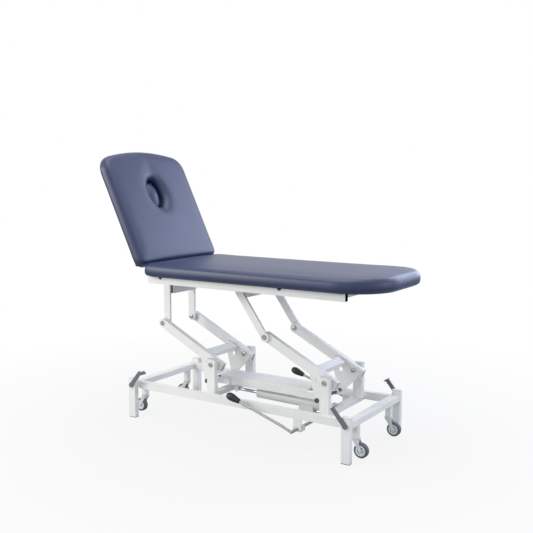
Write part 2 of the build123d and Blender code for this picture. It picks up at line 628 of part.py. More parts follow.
def castor(name, sx, sy):
    x, y = sx * LEG_MID_X, sy * STEM_Y
    wx = x + sx * TRAIL
    half = WHEEL_W / 2 + SLIP * 4
    fork = rod_z(x, y, FORK_TOP - CROWN_T, FORK_TOP, HOUSING_R)
    fork += rod_z(x, y, FORK_TOP - CROWN_T, STEM_BOTTOM + SWIVEL_UP, SWIVEL_R)
    fork += block(x - half, x + half, y - half, y + half, FORK_TOP - CROWN_T, FORK_TOP)
    outline = [(x - sx * half, FORK_TOP), (x + sx * half, FORK_TOP), (wx + sx * GUARD_R, WHEEL_Z),
               (wx, WHEEL_Z - GUARD_R), (wx - sx * GUARD_R, WHEEL_Z)]
    for s in SIDES:
        y0, y1 = sorted((y + s * half, y + s * (half + FORK_T)))
        fork += plate_xz(outline, y0, y1)
    fork -= rod_y(wx, y - half - FORK_T - OVERCUT, y + half + FORK_T + OVERCUT, WHEEL_Z, CASTOR_AXLE_R)
    axle = rod_y(wx, y - half - FORK_T, y + half + FORK_T, WHEEL_Z, CASTOR_AXLE_R)
    for s in SIDES:
        axle += rod_y(wx, y + s * (half + FORK_T), y + s * (half + FORK_T * 2), WHEEL_Z, AXLE_HEAD_R)
    save(name + "_castor_fork", fork, axle)
    hub = rod_y(wx, y - WHEEL_W / 2, y + WHEEL_W / 2, WHEEL_Z, WHEEL_R - TYRE_T)
    hub -= rod_y(wx, y - WHEEL_W, y + WHEEL_W, WHEEL_Z, CASTOR_AXLE_R + RUN_FIT)
    for s in SIDES:
        y0, y1 = sorted((y + s * WHEEL_W / 4, y + s * WHEEL_W))
        hub -= rod_y(wx, y0, y1, WHEEL_Z, WHEEL_R - TYRE_T * 2 + SLIP) - rod_y(wx, y0, y1, WHEEL_Z, GUARD_R)
    save(name + "_castor_hub", hub)
    tyre = rod_y(wx, y - WHEEL_W / 2, y + WHEEL_W / 2, WHEEL_Z, WHEEL_R)
    tyre = fillet(tyre.edges().filter_by(GeomType.CIRCLE), TYRE_T / 2)
    tyre -= rod_y(wx, y - WHEEL_W, y + WHEEL_W, WHEEL_Z, WHEEL_R - TYRE_T)
    save(name + "_castor_tyre", tyre)


# Top frame: two long rails, cross members, uprights down to the arms and hinge ears at the head end
FRAME_HALF = FRAME_W / 2
RAIL_IN = FRAME_HALF - RAIL_T
RAIL_TOP = RAIL_Z0 + RAIL_H
CROSS_TUBE_W = 41.0
CROSS_TUBE_H = 28.0
HEAD_TUBE_X = -497.0
FOOT_TUBE_X = -22.0
HEAD_TUBE_DEEPER = 45.0
FOOT_TUBE_DEEPER = 22.0
TUBE_Z1 = RAIL_Z0
TUBE_Z0 = RAIL_Z0 - CROSS_TUBE_H
TOP_CROSS_XS_SHARES = (0.28, 0.96)
TOP_CROSS_W = 25.0
TOP_CROSS_H = 30.0
UPRIGHT_W = 42.0
FOOT_UPRIGHT_W = 45.0
SIDE_PLATE_T = 12.0
EAR_T = 6.0
EAR_R = 10.0
EAR_Y = 226.0
HINGE_R = 7.0
PLUG_X_SHARES = (0.069, 0.7)
PLUG_BELOW = 2.0
PLUG_R = 11.0
PLUG_T = 3.0
HEAD_UPRIGHT_IN_BY = 10.0
HEAD_UPRIGHT_OUT = ARM_IN - GAP - HEAD_UPRIGHT_IN_BY
FOOT_UPRIGHT_IN = ARM_OUT + GAP
UPPER_Z = PIVOT_Z + UPPER_DZ
UPRIGHT_TOP = RAIL_TOP - TOP_CROSS_H
HEAD_UPPER_X = HEAD_POST_X + UPPER_DX
FOOT_UPPER_X = FOOT_POST_X + UPPER_DX
LUG_LEN = 51.0
STRUT_R = 14.0
STRUT_BORE = 12.0
STRUT_ROD_R = 4.0
STRUT_EYE_R = 7.0
STRUT_EYE_HALF = 8.0
STRUT_GAP = 12.0
STRUT_LEN = 240.0
LUG_PLATE_T = 5.0
LUG_PLATE_W = 9.0
LUG_LEAN = 3.0
STRUT_PIN_R = 3.0
LUG_HALF_SWING = (HEAD_UP + HEAD_DOWN) / 2
LUG_REST = LUG_HALF_SWING - HEAD_UP + LUG_LEAN
LUG_TIP_X = HINGE_X - LUG_LEN * sin(radians(LUG_REST))
LUG_TIP_Z = HINGE_Z - LUG_LEN * cos(radians(LUG_REST))
STRUT_Z = HINGE_Z - LUG_LEN * (1 + cos(radians(LUG_HALF_SWING + LUG_LEAN))) / 2
LUG_LOW_X = HINGE_X + LUG_LEN * sin(radians(LUG_HALF_SWING - LUG_LEAN))
STRUT_X0 = LUG_LOW_X + STRUT_EYE_R + STRUT_GAP
STRUT_X1 = STRUT_X0 + STRUT_LEN


def top_frame():
    rails = []
    plugs = []
    for sy in SIDES:
        y0, y1 = sorted(band(sy, RAIL_IN, FRAME_HALF))
        rails.append(hollow_along_x(FRAME_X0, FRAME_X1, y0, y1, RAIL_Z0, RAIL_TOP, TUBE_WALL))
        for share in PLUG_X_SHARES:
            x = FRAME_X0 + share * (FRAME_X1 - FRAME_X0)
            z = RAIL_TOP - PLUG_BELOW
            disc = rod_y(x, sy * FRAME_HALF, sy * (FRAME_HALF + PLUG_T), z, PLUG_R)
            plugs.append(disc & block(x - PLUG_R, x + PLUG_R, sy * FRAME_HALF, sy * (FRAME_HALF + PLUG_T),
                                      z - PLUG_R, z))
    save("top_frame_rails", *rails)
    save("rail_plugs", *plugs)
    crosses = []
    for x in [FRAME_X0 + share * (FRAME_X1 - FRAME_X0) for share in TOP_CROSS_XS_SHARES] + [FOOT_TUBE_X]:
        crosses.append(hollow_along_y(x - TOP_CROSS_W / 2, x + TOP_CROSS_W / 2, -RAIL_IN, RAIL_IN,
                                      RAIL_TOP - TOP_CROSS_H, RAIL_TOP, TUBE_WALL))
    save("top_frame_cross_members", *crosses)
    tubes = []
    for x, reach, deeper in ((HEAD_TUBE_X, HEAD_UPRIGHT_OUT - UPRIGHT_T, HEAD_TUBE_DEEPER),
                             (FOOT_TUBE_X, FOOT_UPRIGHT_IN, FOOT_TUBE_DEEPER)):
        tubes.append(hollow_along_y(x - CROSS_TUBE_W / 2, x + CROSS_TUBE_W / 2, -reach, reach,
                                    TUBE_Z0 - deeper, TUBE_Z1, TUBE_WALL))
    upright_edge = HEAD_UPPER_X + UPRIGHT_W / 2
    for sy in SIDES:
        y0, y1 = sorted(band(sy, HEAD_UPRIGHT_OUT - UPRIGHT_T, EAR_Y))
        r0, r1 = sorted(band(sy, EAR_Y, RAIL_IN))
        side_plate = block(upright_edge, upright_edge + SIDE_PLATE_T, y0, y1, RAIL_Z0, RAIL_TOP)
        side_plate += block(FRAME_X0, upright_edge + SIDE_PLATE_T, r0, r1, RAIL_Z0, RAIL_TOP)
        tubes.append(side_plate)
    save("top_frame_cross_members", *tubes)


def uprights():
    heads = []
    feet = []
    for sy in SIDES:
        y0, y1 = sorted(band(sy, HEAD_UPRIGHT_OUT - UPRIGHT_T, HEAD_UPRIGHT_OUT))
        bar = block(HEAD_UPPER_X - UPRIGHT_W / 2, HEAD_UPPER_X + UPRIGHT_W / 2, y0, y1, UPPER_Z, RAIL_TOP)
        bar += rod_y(HEAD_UPPER_X, y0, y1, UPPER_Z, UPRIGHT_W / 2)
        heads.append(bar - rod_y(HEAD_UPPER_X, y0 - OVERCUT, y1 + OVERCUT, UPPER_Z, PIVOT_R))
        y0, y1 = sorted(band(sy, FOOT_UPRIGHT_IN, FOOT_UPRIGHT_IN + UPRIGHT_T))
        half = FOOT_UPRIGHT_W / 2
        bar = plate_xz([(FOOT_UPPER_X - half, UPPER_Z), (FOOT_UPPER_X + half, UPPER_Z),
                        (FOOT_TUBE_X + half, TUBE_Z0), (FOOT_TUBE_X + half, UPRIGHT_TOP),
                        (FOOT_TUBE_X - half, UPRIGHT_TOP), (FOOT_TUBE_X - half, TUBE_Z0)], y0, y1)
        bar += rod_y(FOOT_UPPER_X, y0, y1, UPPER_Z, half)
        feet.append(bar - rod_y(FOOT_UPPER_X, y0 - OVERCUT, y1 + OVERCUT, UPPER_Z, PIVOT_R))
    save("head_uprights", *heads)
    save("foot_uprights", *feet)


def upper_pivot_bolts():
    pieces = []
    for sy in SIDES:
        face = HEAD_UPRIGHT_OUT - UPRIGHT_T
        pieces.append(bolt(HEAD_UPPER_X, UPPER_Z, sy, ARM_OUT + SLIP, face - NUT_T))
        pieces.append(nut(HEAD_UPPER_X, UPPER_Z, sy, face))
        collar = rod_y(HEAD_UPPER_X, sy * HEAD_UPRIGHT_OUT, sy * (ARM_IN - SLIP), UPPER_Z, COLLAR_R)
        pieces.append(collar - rod_y(HEAD_UPPER_X, 0, sy * ARM_OUT, UPPER_Z, PIVOT_R))
        pieces.append(bolt(FOOT_UPPER_X, UPPER_Z, sy, FOOT_UPRIGHT_IN + UPRIGHT_T, ARM_IN - SLIP - NUT_T))
        pieces.append(nut(FOOT_UPPER_X, UPPER_Z, sy, ARM_IN - SLIP))
    save("upper_pivot_bolts", *pieces)


def hinge_ears():
    ears = []
    for sy in SIDES:
        y0, y1 = sorted(band(sy, EAR_Y, FRAME_HALF))
        e0, e1 = sorted(band(sy, EAR_Y, EAR_Y + EAR_T))
        foot = block(FRAME_X0 - EAR_T, FRAME_X0, y0, y1, RAIL_Z0, RAIL_TOP)
        ear = plate_xz([(FRAME_X0, RAIL_Z0), (FRAME_X0, RAIL_TOP), (HINGE_X + EAR_R, HINGE_Z),
                        (HINGE_X - EAR_R, HINGE_Z), (HINGE_X - EAR_R, RAIL_Z0 + EAR_R),
                        (FRAME_X0 - EAR_R, RAIL_Z0)], e0, e1)
        ear += foot + rod_y(HINGE_X, e0, e1, HINGE_Z, EAR_R)
        ears.append(ear - rod_y(HINGE_X, e0 - OVERCUT, e1 + OVERCUT, HINGE_Z, HINGE_R + RUN_FIT))
    save("top_frame_rails", *ears)


# Gas strut that holds the head section, worked by a short lug on the hinge shaft
def gas_strut():
    barrel = rod_x(STRUT_X0, STRUT_X1, 0, STRUT_Z, STRUT_R)
    barrel -= rod_x(STRUT_X0 - OVERCUT, STRUT_X1 - STRUT_R, 0, STRUT_Z, STRUT_BORE)
    barrel += block(STRUT_X1 - OVERCUT, STRUT_X1 + STRUT_R, -LUG_PLATE_T / 2, LUG_PLATE_T / 2,
                    STRUT_Z - STRUT_EYE_R, STRUT_Z + STRUT_EYE_R)
    pin_x = STRUT_X1 + STRUT_R / 2
    barrel -= rod_y(pin_x, -STRUT_R, STRUT_R, STRUT_Z, STRUT_PIN_R)
    save("gas_strut_barrel", barrel)
    mount = []
    cross_x = FRAME_X0 + TOP_CROSS_XS_SHARES[0] * (FRAME_X1 - FRAME_X0)
    for sy in SIDES:
        y0, y1 = sorted(band(sy, LUG_PLATE_T / 2, LUG_PLATE_T / 2 + LUG_PLATE_T))
        mount.append(block(STRUT_X1 + SLIP, cross_x - TOP_CROSS_W / 2, y0, y1,
                           RAIL_TOP - TOP_CROSS_H, STRUT_Z + STRUT_EYE_R))
    pin = rod_y(pin_x, -LUG_PLATE_T * 2, LUG_PLATE_T * 2, STRUT_Z, STRUT_PIN_R)
    save("top_frame_cross_members", *[plate - pin for plate in mount], pin)
    rod = rod_x(LUG_TIP_X, STRUT_X0 + LUG_LEN * 2, 0, LUG_TIP_Z, STRUT_ROD_R)
    rod += rod_y(LUG_TIP_X, -STRUT_EYE_HALF, STRUT_EYE_HALF, LUG_TIP_Z, STRUT_EYE_R)
    rod -= rod_y(LUG_TIP_X, -STRUT_EYE_HALF - OVERCUT, STRUT_EYE_HALF + OVERCUT, LUG_TIP_Z,
                 STRUT_PIN_R + RUN_FIT)
    save("gas_strut_rod", rod)


# Head section, drawn flat and then raised about the hinge shaft
HEAD_END_GAP = 15.5
HEAD_X1 = HINGE_X - HEAD_END_GAP
HEAD_X0 = HEAD_X1 - HEAD_LEN
HOLE_SHARE = 0.6137
HOLE_X = HEAD_X1 - HOLE_SHARE * HEAD_LEN
HOLE_HALF_X = 80.0
HOLE_HALF_Y = 52.0
LIP_ROLL = 17.0
LIP_TAPER = 55.0
PLUG_CLEAR = 0.3
PLUG_TOP_Z = 761.0
PLUG_ROLL = 5.0
BOARD_INSET = 14.0
HEAD_TUBE = 25.0
HEAD_TUBE_OUT = 219.0
HEAD_TUBE_START = 30.0
HEAD_TUBE_CLEAR = 89.0
ARM_RISE = 3.0


def raised(shape):
    return Pos(HINGE_X, 0, HINGE_Z) * Rot(0, HEAD_RAISED, 0) * Pos(-HINGE_X, 0, -HINGE_Z) * shape


def ellipse_post(half_x, half_y, z0, z1):
    return Pos(HOLE_X, 0, z0) * extrude(Ellipse(half_x, half_y), z1 - z0)


def head_outline(inset=0.0):
    """Straight sides, round shoulders and a long arch at the top, drawn from the lower end."""
    half = COUCH_W / 2 - inset
    top = HEAD_LEN - inset
    side = HEAD_LEN - HEAD_ARCH
    radius = HEAD_SHOULDER_R - inset
    yc = half - radius
    arch_r = arch_radius(side, top, yc, radius)
    cx = top - arch_r
    dx, dy = side - cx, yc
    norm = sqrt(dx * dx + dy * dy)
    tx, ty = cx + arch_r * dx / norm, arch_r * dy / norm

    def at(s, y):
        return (HEAD_X1 - s, y)
    edges = [Line(at(inset, -half), at(inset, half)), Line(at(inset, half), at(side, half)),
             ThreePointArc(at(side, half), at(*shoulder_mid(side, yc, radius, tx, ty)), at(tx, ty)),
             ThreePointArc(at(tx, ty), at(top, 0), at(tx, -ty)),
             ThreePointArc(at(tx, -ty), at(*shoulder_mid(side, -yc, radius, tx, -ty)), at(side, -half)),
             Line(at(side, -half), at(inset, -half))]
    return make_face(edges)


def arch_radius(side, top, yc, radius):
    """Radius of the top arch, tangent to both shoulders and touching the top."""
    d = top - side
    return (d * d + yc * yc - radius * radius) / (2 * (d - radius))


def shoulder_mid(side, yc, radius, tx, ty):
    """The middle of a shoulder arc, halfway between its straight side and the arch."""
    end = atan2(abs(ty) - abs(yc), tx - side)
    mid = (end + radians(90)) / 2
    sign = 1 if yc > 0 else -1
    return side + radius * cos(mid), sign * (abs(yc) + radius * sin(mid))


def crowned(shape, x0, x1, z1):
    """Trim a pad's flat top to a shallow arch across its width."""
    half = COUCH_W / 2
    profile = make_face([Line((-half, -half), (half, -half)), Line((half, -half), (half, z1 - CROWN)),
                         ThreePointArc((half, z1 - CROWN), (0, z1), (-half, z1 - CROWN)),
                         Line((-half, z1 - CROWN), (-half, -half))])
    solid = Pos(x0, 0, 0) * extrude(Plane.YZ * profile, x1 - x0)
    return shape & solid


def rolled_pad(face, z0, z1, roll_low):
    pad = Pos(0, 0, z0) * extrude(face, z1 - z0)
    pad = fillet(pad.edges().group_by(Axis.Z)[-1], ROLL_TOP)
    return fillet(pad.edges().group_by(Axis.Z)[0], roll_low)


def head_section():
    face = head_outline()
    pad = rolled_pad(face_with_corners(face), HEAD_PAD_Z, PAD_TOP, HEAD_ROLL_LOW)
    pad = crowned(pad, HEAD_X0 - OVERCUT, HEAD_X1 + OVERCUT, PAD_TOP)
    pad -= ellipse_post(HOLE_HALF_X, HOLE_HALF_Y, HEAD_PAD_Z - OVERCUT, PAD_TOP + OVERCUT)
    board_face = head_outline(BOARD_INSET)
    board = Pos(0, 0, HEAD_PAD_Z) * extrude(board_face, BOARD_T)
    pad -= board
    board -= ellipse_post(HOLE_HALF_X, HOLE_HALF_Y, HEAD_PAD_Z - OVERCUT, PAD_TOP)
    pad = soften_lip(pad, PAD_TOP)
    save("head_cushion", raised(pad))
    save("head_board", raised(board))
    plug = ellipse_post(HOLE_HALF_X - PLUG_CLEAR, HOLE_HALF_Y - PLUG_CLEAR, HEAD_PAD_Z, PLUG_TOP_Z)
    plug = fillet(plug.edges().group_by(Axis.Z)[-1], PLUG_ROLL)
    save("face_hole_plug", raised(plug))


def face_with_corners(face):
    corners = face.vertices().group_by(Axis.X)[-1]
    return fillet(corners, HEAD_CORNER_R)


def soften_lip(pad, z1):
    """Cut a wide shallow dish round the face hole, the soft lip that a face rests on."""
    dish = Pos(HOLE_X, 0, z1 - LIP_ROLL) * extrude(
        Ellipse(HOLE_HALF_X, HOLE_HALF_Y), LIP_ROLL + OVERCUT, taper=-LIP_TAPER)
    return pad - dish


def head_frame():
    tubes = []
    z0, z1 = HEAD_PAD_Z - HEAD_TUBE, HEAD_PAD_Z
    x0, x1 = HEAD_X0 + HEAD_TUBE_CLEAR, HEAD_X1 - HEAD_TUBE_START
    for sy in SIDES:
        y0, y1 = sorted(band(sy, HEAD_TUBE_OUT - HEAD_TUBE, HEAD_TUBE_OUT))
        tubes.append(raised(hollow_along_x(x0, x1, y0, y1, z0, z1, TUBE_WALL)))
    inner = HEAD_TUBE_OUT - HEAD_TUBE
    for x in (x0, x1 - HEAD_TUBE):
        tubes.append(raised(hollow_along_y(x, x + HEAD_TUBE, -inner, inner, z0, z1, TUBE_WALL)))
    save("head_frame_tubes", *tubes)
    arms = []
    for sy in SIDES:
        y0, y1 = sorted(band(sy, HEAD_TUBE_OUT, HEAD_TUBE_OUT + EAR_T))
        low = z0 + TUBE_WALL
        under = HEAD_X1 - HEAD_ROLL_LOW / 2
        arm = plate_xz([(HINGE_X - EAR_R, HINGE_Z), (HINGE_X - EAR_R, z1 + ARM_RISE), (under, z1 - ARM_RISE),
                        (x1 - HEAD_TUBE, z1 - SLIP), (x1 - HEAD_TUBE, low), (x1, low),
                        (HINGE_X + EAR_R, HINGE_Z - EAR_R / 2)], y0, y1)
        arm += rod_y(HINGE_X, y0, y1, HINGE_Z, EAR_R)
        arms.append(raised(arm - rod_y(HINGE_X, y0 - OVERCUT, y1 + OVERCUT, HINGE_Z, HINGE_R)))
    save("head_frame_tubes", *arms)
    shaft = rod_y(HINGE_X, -EAR_Y - EAR_T - SLIP * 4, EAR_Y + EAR_T + SLIP * 4, HINGE_Z, HINGE_R)
    lug = []
    for sy in SIDES:
        y0, y1 = sorted(band(sy, STRUT_EYE_HALF + GAP, STRUT_EYE_HALF + GAP + LUG_PLATE_T))
        plate = block(-LUG_PLATE_W / 2, LUG_PLATE_W / 2, y0, y1, -LUG_LEN, 0)
        plate += rod_y(0, y0, y1, -LUG_LEN, LUG_PLATE_W / 2)
        lug.append(turned(plate, HINGE_X, HINGE_Z, LUG_REST))
    reach = STRUT_EYE_HALF + GAP + LUG_PLATE_T
    for piece in lug:
        shaft += piece
    shaft += rod_y(LUG_TIP_X, -reach, reach, LUG_TIP_Z, STRUT_PIN_R)
    save("head_hinge_shaft", shaft)


# Seat section: the long pad on its plywood board, fixed to the top frame
def seat_face(inset=0.0):
    x0, x1 = SEAT_X0 + inset, SEAT_X0 + SEAT_L - inset
    face = Pos((x0 + x1) / 2, 0) * Rectangle(x1 - x0, COUCH_W - 2 * inset)
    face = fillet(face.vertices().group_by(Axis.X)[-1], FOOT_CORNER_R - inset)
    return fillet(face.vertices().group_by(Axis.X)[0], SEAT_CORNER_R - inset / 2)


def seat_section():
    pad = rolled_pad(seat_face(), PAD_Z, PAD_TOP, ROLL_LOW)
    pad = crowned(pad, SEAT_X0 - OVERCUT, SEAT_X0 + SEAT_L + OVERCUT, PAD_TOP)
    board = Pos(0, 0, PAD_Z) * extrude(seat_face(ROLL_LOW), BOARD_T)
    save("seat_cushion", pad - board)
    save("seat_board", board)


def build():
    base_legs()
    leg_trim("leg_caps", LEG_H - LEG_CAP_T, LEG_H, LEG_H - LEG_CAP_T - PLUG_IN, LEG_H - LEG_CAP_T, CAP_LIP)
    leg_trim("leg_glides", 0, GLIDE_T, GLIDE_T, GLIDE_T + PLUG_IN, 0)
    base_rails()
    pivot_posts()
    lower_pivot_bolts()
    lift_arms("head", HEAD_POST_X)
    lift_arms("foot", FOOT_POST_X)
    tie_beam()
    ram()
    rear_clevis()
    pump_bar()
    pump_bearings()
    axle_bushes()
    castor_sleeves()
    for end, sx in ENDS:
        pedal_axle(end, sx)
        castor_stems(end, sx)
    for name, sx, sy in CASTORS:
        castor(name, sx, sy)
    top_frame()
    uprights()
    upper_pivot_bolts()
    hinge_ears()
    gas_strut()
    head_section()
    head_frame()
    seat_section()


build()

# The origin is on the floor, under the middle of the whole table
WHOLE = Compound([solid for solids in NODES.values() for solid in solids]).bounding_box()
SHIFT_X = -(WHOLE.min.X + WHOLE.max.X) / 2
os.makedirs("parts", exist_ok=True)
for node, solids in NODES.items():
    shape = Compound([Pos(SHIFT_X, 0, 0) * solid for solid in solids])
    shape.label = node
    export_step(shape, "parts/" + node + ".step")
print(len(NODES), "nodes", "shift", round(SHIFT_X, 3), "box", WHOLE)
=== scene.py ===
import math

import bmesh
import bpy
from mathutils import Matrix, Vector


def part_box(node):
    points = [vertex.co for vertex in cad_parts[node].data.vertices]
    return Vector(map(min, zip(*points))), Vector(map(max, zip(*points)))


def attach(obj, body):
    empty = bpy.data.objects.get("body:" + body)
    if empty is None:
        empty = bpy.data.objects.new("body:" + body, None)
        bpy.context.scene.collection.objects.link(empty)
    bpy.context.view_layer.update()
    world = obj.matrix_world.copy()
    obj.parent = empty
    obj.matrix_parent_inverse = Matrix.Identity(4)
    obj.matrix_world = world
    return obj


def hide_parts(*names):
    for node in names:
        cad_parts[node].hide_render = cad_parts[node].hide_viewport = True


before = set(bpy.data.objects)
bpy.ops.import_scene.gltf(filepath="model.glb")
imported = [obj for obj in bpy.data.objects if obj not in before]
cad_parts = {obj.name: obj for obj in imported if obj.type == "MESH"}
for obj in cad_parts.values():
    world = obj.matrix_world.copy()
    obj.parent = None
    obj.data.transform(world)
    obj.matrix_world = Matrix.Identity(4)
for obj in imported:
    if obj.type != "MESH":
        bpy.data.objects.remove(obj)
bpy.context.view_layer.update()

# The studio: a pale floor under a white background, a wide soft box overhead, a warm one at the front left,
# and two cooler ones, on the foot side and on the far side. The floor keeps a faint shadow under the table.


def colour(hex_value):
    """A colour written as sRGB hex, as the linear values that a shader takes."""
    parts = [int(hex_value[i:i + 2], 16) / 255 for i in (1, 3, 5)]
    linear = [p / 12.92 if p <= 0.04045 else ((p + 0.055) / 1.055) ** 2.4 for p in parts]
    return (*linear, 1)


def add(tree, kind, settings=None, links=None):
    """Adds one node to a tree, with its settings and the outputs that feed it."""
    node = tree.nodes.new(kind)
    for key, value in (settings or {}).items():
        if isinstance(key, int) or key in node.inputs:
            node.inputs[key].default_value = value
        else:
            setattr(node, key, value)
    for key, output in (links or {}).items():
        tree.links.new(output, node.inputs[key])
    return node


world = bpy.data.worlds.new("studio_white")
bpy.context.scene.world = world
world.use_nodes = True
tree = world.node_tree
tree.nodes.clear()
ray = add(tree, "ShaderNodeLightPath")
through = add(tree, "ShaderNodeMath", {"operation": "MAXIMUM"}, {0: ray.outputs["Is Camera Ray"]})
tree.links.new(ray.outputs["Is Transmission Ray"], through.inputs[1])
seen = add(tree, "ShaderNodeMath", {"operation": "MAXIMUM"}, {0: through.outputs[0]})
tree.links.new(ray.outputs["Is Glossy Ray"], seen.inputs[1])
room_light = add(tree, "ShaderNodeBackground", {"Color": colour("#F4F6FA"), "Strength": 0.72})
backdrop = add(tree, "ShaderNodeBackground", {"Color": colour("#FFFFFF"), "Strength": 1})
mixed = add(tree, "ShaderNodeMixShader")
tree.links.new(seen.outputs[0], mixed.inputs[0])
tree.links.new(room_light.outputs[0], mixed.inputs[1])
tree.links.new(backdrop.outputs[0], mixed.inputs[2])
add(tree, "ShaderNodeOutputWorld", links={"Surface": mixed.outputs[0]})

# The floor is white for the camera, apart from the share of its own shade that is left near the table.
FLOOR_HALF = 15
FADE_NEAR, FADE_FAR = 0.7, 2.4
WHITE_NEAR = 0.86
floor_mesh = bpy.data.meshes.new("studio_floor")
floor_corners = [(x * FLOOR_HALF, y * FLOOR_HALF, 0) for x, y in ((-1, -1), (1, -1), (1, 1), (-1, 1))]
floor_mesh.from_pydata(floor_corners, [], [(0, 1, 2, 3)])
floor = bpy.data.objects.new("studio_floor", floor_mesh)
bpy.context.collection.objects.link(floor)
floor_paint = bpy.data.materials.new("white_floor")
floor_paint.use_nodes = True
tree = floor_paint.node_tree
tree.nodes.clear()
ray = add(tree, "ShaderNodeLightPath")
matt = add(tree, "ShaderNodeBsdfDiffuse", {"Color": colour("#B4B5B8")})
glow = add(tree, "ShaderNodeEmission", {"Color": colour("#FFFFFF"), "Strength": 1})
place = add(tree, "ShaderNodeTexCoord").outputs["Object"]
out_from_table = add(tree, "ShaderNodeVectorMath", {"operation": "LENGTH"}, {0: place})
fade = add(tree, "ShaderNodeMapRange",
           {"From Min": FADE_NEAR, "From Max": FADE_FAR, "To Min": WHITE_NEAR, "To Max": 1},
           {"Value": out_from_table.outputs["Value"]})
share = add(tree, "ShaderNodeMath", {"operation": "MULTIPLY"},
            {0: ray.outputs["Is Camera Ray"], 1: fade.outputs["Result"]})
mixed = add(tree, "ShaderNodeMixShader", links={0: share.outputs[0], 1: matt.outputs[0], 2: glow.outputs[0]})
add(tree, "ShaderNodeOutputMaterial", links={"Surface": mixed.outputs[0]})
floor_mesh.materials.append(floor_paint)

LAMP_AIM = Vector((0, 0, 0.6))
for name, place, width, watts, tint in (
    ("overhead_box", (-0.1, -0.1, 3.3), 2.4, 38, "#F4F8FF"),
    ("front_left_box", (-2.4, -3.0, 2.0), 1.8, 72, "#FFFCF6"),
    ("foot_side_box", (3.6, 0.6, 1.7), 1.6, 16, "#E4ECFF"),
    ("far_side_box", (1.0, 2.7, 1.8), 2.0, 54, "#D2DDFF"),
):
    lamp = bpy.data.lights.new(name, "AREA")
    lamp.size = width
    lamp.energy = watts
    lamp.color = colour(tint)[:3]
    holder = bpy.data.objects.new(name, lamp)
    holder.location = place
    holder.rotation_euler = (LAMP_AIM - Vector(place)).to_track_quat("-Z", "Y").to_euler()
    bpy.context.collection.objects.link(holder)

# The camera stands where the photograph was taken from, found by a fit to the table's own corners.
CAMERA_PLACE = (2.1076, -3.1512, 1.2245)
CAMERA_DOWN, CAMERA_ROUND = math.radians(6.62), math.radians(33.15)
lens = bpy.data.cameras.new("photo_camera")
lens.lens = 52.89
lens.sensor_width = 36
camera = bpy.data.objects.new("photo_camera", lens)
camera.location = CAMERA_PLACE
camera.rotation_euler = (math.pi / 2 - CAMERA_DOWN, 0, CAMERA_ROUND)
bpy.context.collection.objects.link(camera)
bpy.context.scene.camera = camera
bpy.context.scene.view_settings.view_transform = "Standard"

# The frame: the base, the lift's arms, cranks and tie beam, the top frame and the head frame, of rectangular
# steel tube and plate, MIG welded and powder coated white. The coat flows a little round each edge.


def material(name, base, **sockets):
    """A named Principled material; returns it with its tree, its shader and its Object coordinates."""
    made = bpy.data.materials.new(name)
    made.use_nodes = True
    tree = made.node_tree
    tree.nodes.clear()
    shader = add(tree, "ShaderNodeBsdfPrincipled", {"Base Color": colour(base), **sockets})
    add(tree, "ShaderNodeOutputMaterial", links={"Surface": shader.outputs[0]})
    place = add(tree, "ShaderNodeTexCoord").outputs["Object"]
    return made, tree, shader, place


# A CAD node's loose triangles are joined where they meet and where they are flat, before its edges are eased.
JOIN_WITHIN = 0.00002
FLAT_WITHIN, EDGE_FROM = math.radians(0.5), math.radians(40)


def dress(node, finish, ease=0):
    """Gives a CAD node its finish, and its sharp edges the small round that its coat or mould leaves."""
    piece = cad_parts[node]
    piece.data.materials.clear()
    piece.data.materials.append(finish)
    if ease:
        weld = piece.modifiers.new("joined", "WELD")
        weld.merge_threshold = JOIN_WITHIN
        flat = piece.modifiers.new("flat_faces_joined", "DECIMATE")
        flat.decimate_type = "DISSOLVE"
        flat.angle_limit = FLAT_WITHIN
        bevel = piece.modifiers.new("eased", "BEVEL")
        bevel.width = ease
        bevel.segments = 3
        bevel.limit_method = "ANGLE"
        bevel.angle_limit = EDGE_FROM
        even = piece.modifiers.new("even_shading", "WEIGHTED_NORMAL")
        even.weight = 90


# Polyester powder coat, sprayed and baked: even, half gloss, with an orange peel about 1.5 mm across that
# breaks up its highlights, and hardly a change of tone, about 110 mm across.
PEEL_MM, TONE_MM = 1.5, 111.11
powder_coat, tree, shader, place = material("polyester_powder_coat", "#F1F1ED", Roughness=0.46, IOR=1.5)
cloud = add(tree, "ShaderNodeTexNoise", {"Scale": 1000 / TONE_MM, "Detail": 3}, {"Vector": place})
shade = add(tree, "ShaderNodeValToRGB", links={"Fac": cloud.outputs["Fac"]})
shade.color_ramp.elements[0].position = 0.3
shade.color_ramp.elements[0].color = colour("#EEEFEB")
shade.color_ramp.elements[1].position = 0.7
shade.color_ramp.elements[1].color = colour("#F5F5F2")
tree.links.new(shade.outputs["Color"], shader.inputs["Base Color"])
peel = add(tree, "ShaderNodeTexNoise", {"Scale": 1000 / PEEL_MM, "Detail": 2}, {"Vector": place})
bump = add(tree, "ShaderNodeBump", {"Strength": 0.05, "Distance": 0.0001}, {"Height": peel.outputs["Fac"]})
tree.links.new(bump.outputs["Normal"], shader.inputs["Normal"])

TUBE_EDGE = 0.0022
for node in (
    "base_legs", "base_end_rails", "base_side_rails", "base_cross_members", "pivot_posts",
    "pump_bearings", "ram_rear_clevis", "head_arms", "foot_arms", "head_crank_plates", "foot_crank_plates",
    "tie_beam_channel", "tie_beam_lugs", "top_frame_rails", "top_frame_cross_members",
    "head_uprights", "foot_uprights", "head_frame_tubes", "head_hinge_shaft",
):
    dress(node, powder_coat, TUBE_EDGE)

# The seat pad: polyurethane foam glued to a plywood board, with one cover of PVC-coated cloth drawn over
# it. The cover is held along the bottom, and the foam pushes it up and out above that.
SEAT_VOXEL = 0.009
SEAT_HELD = 0.012
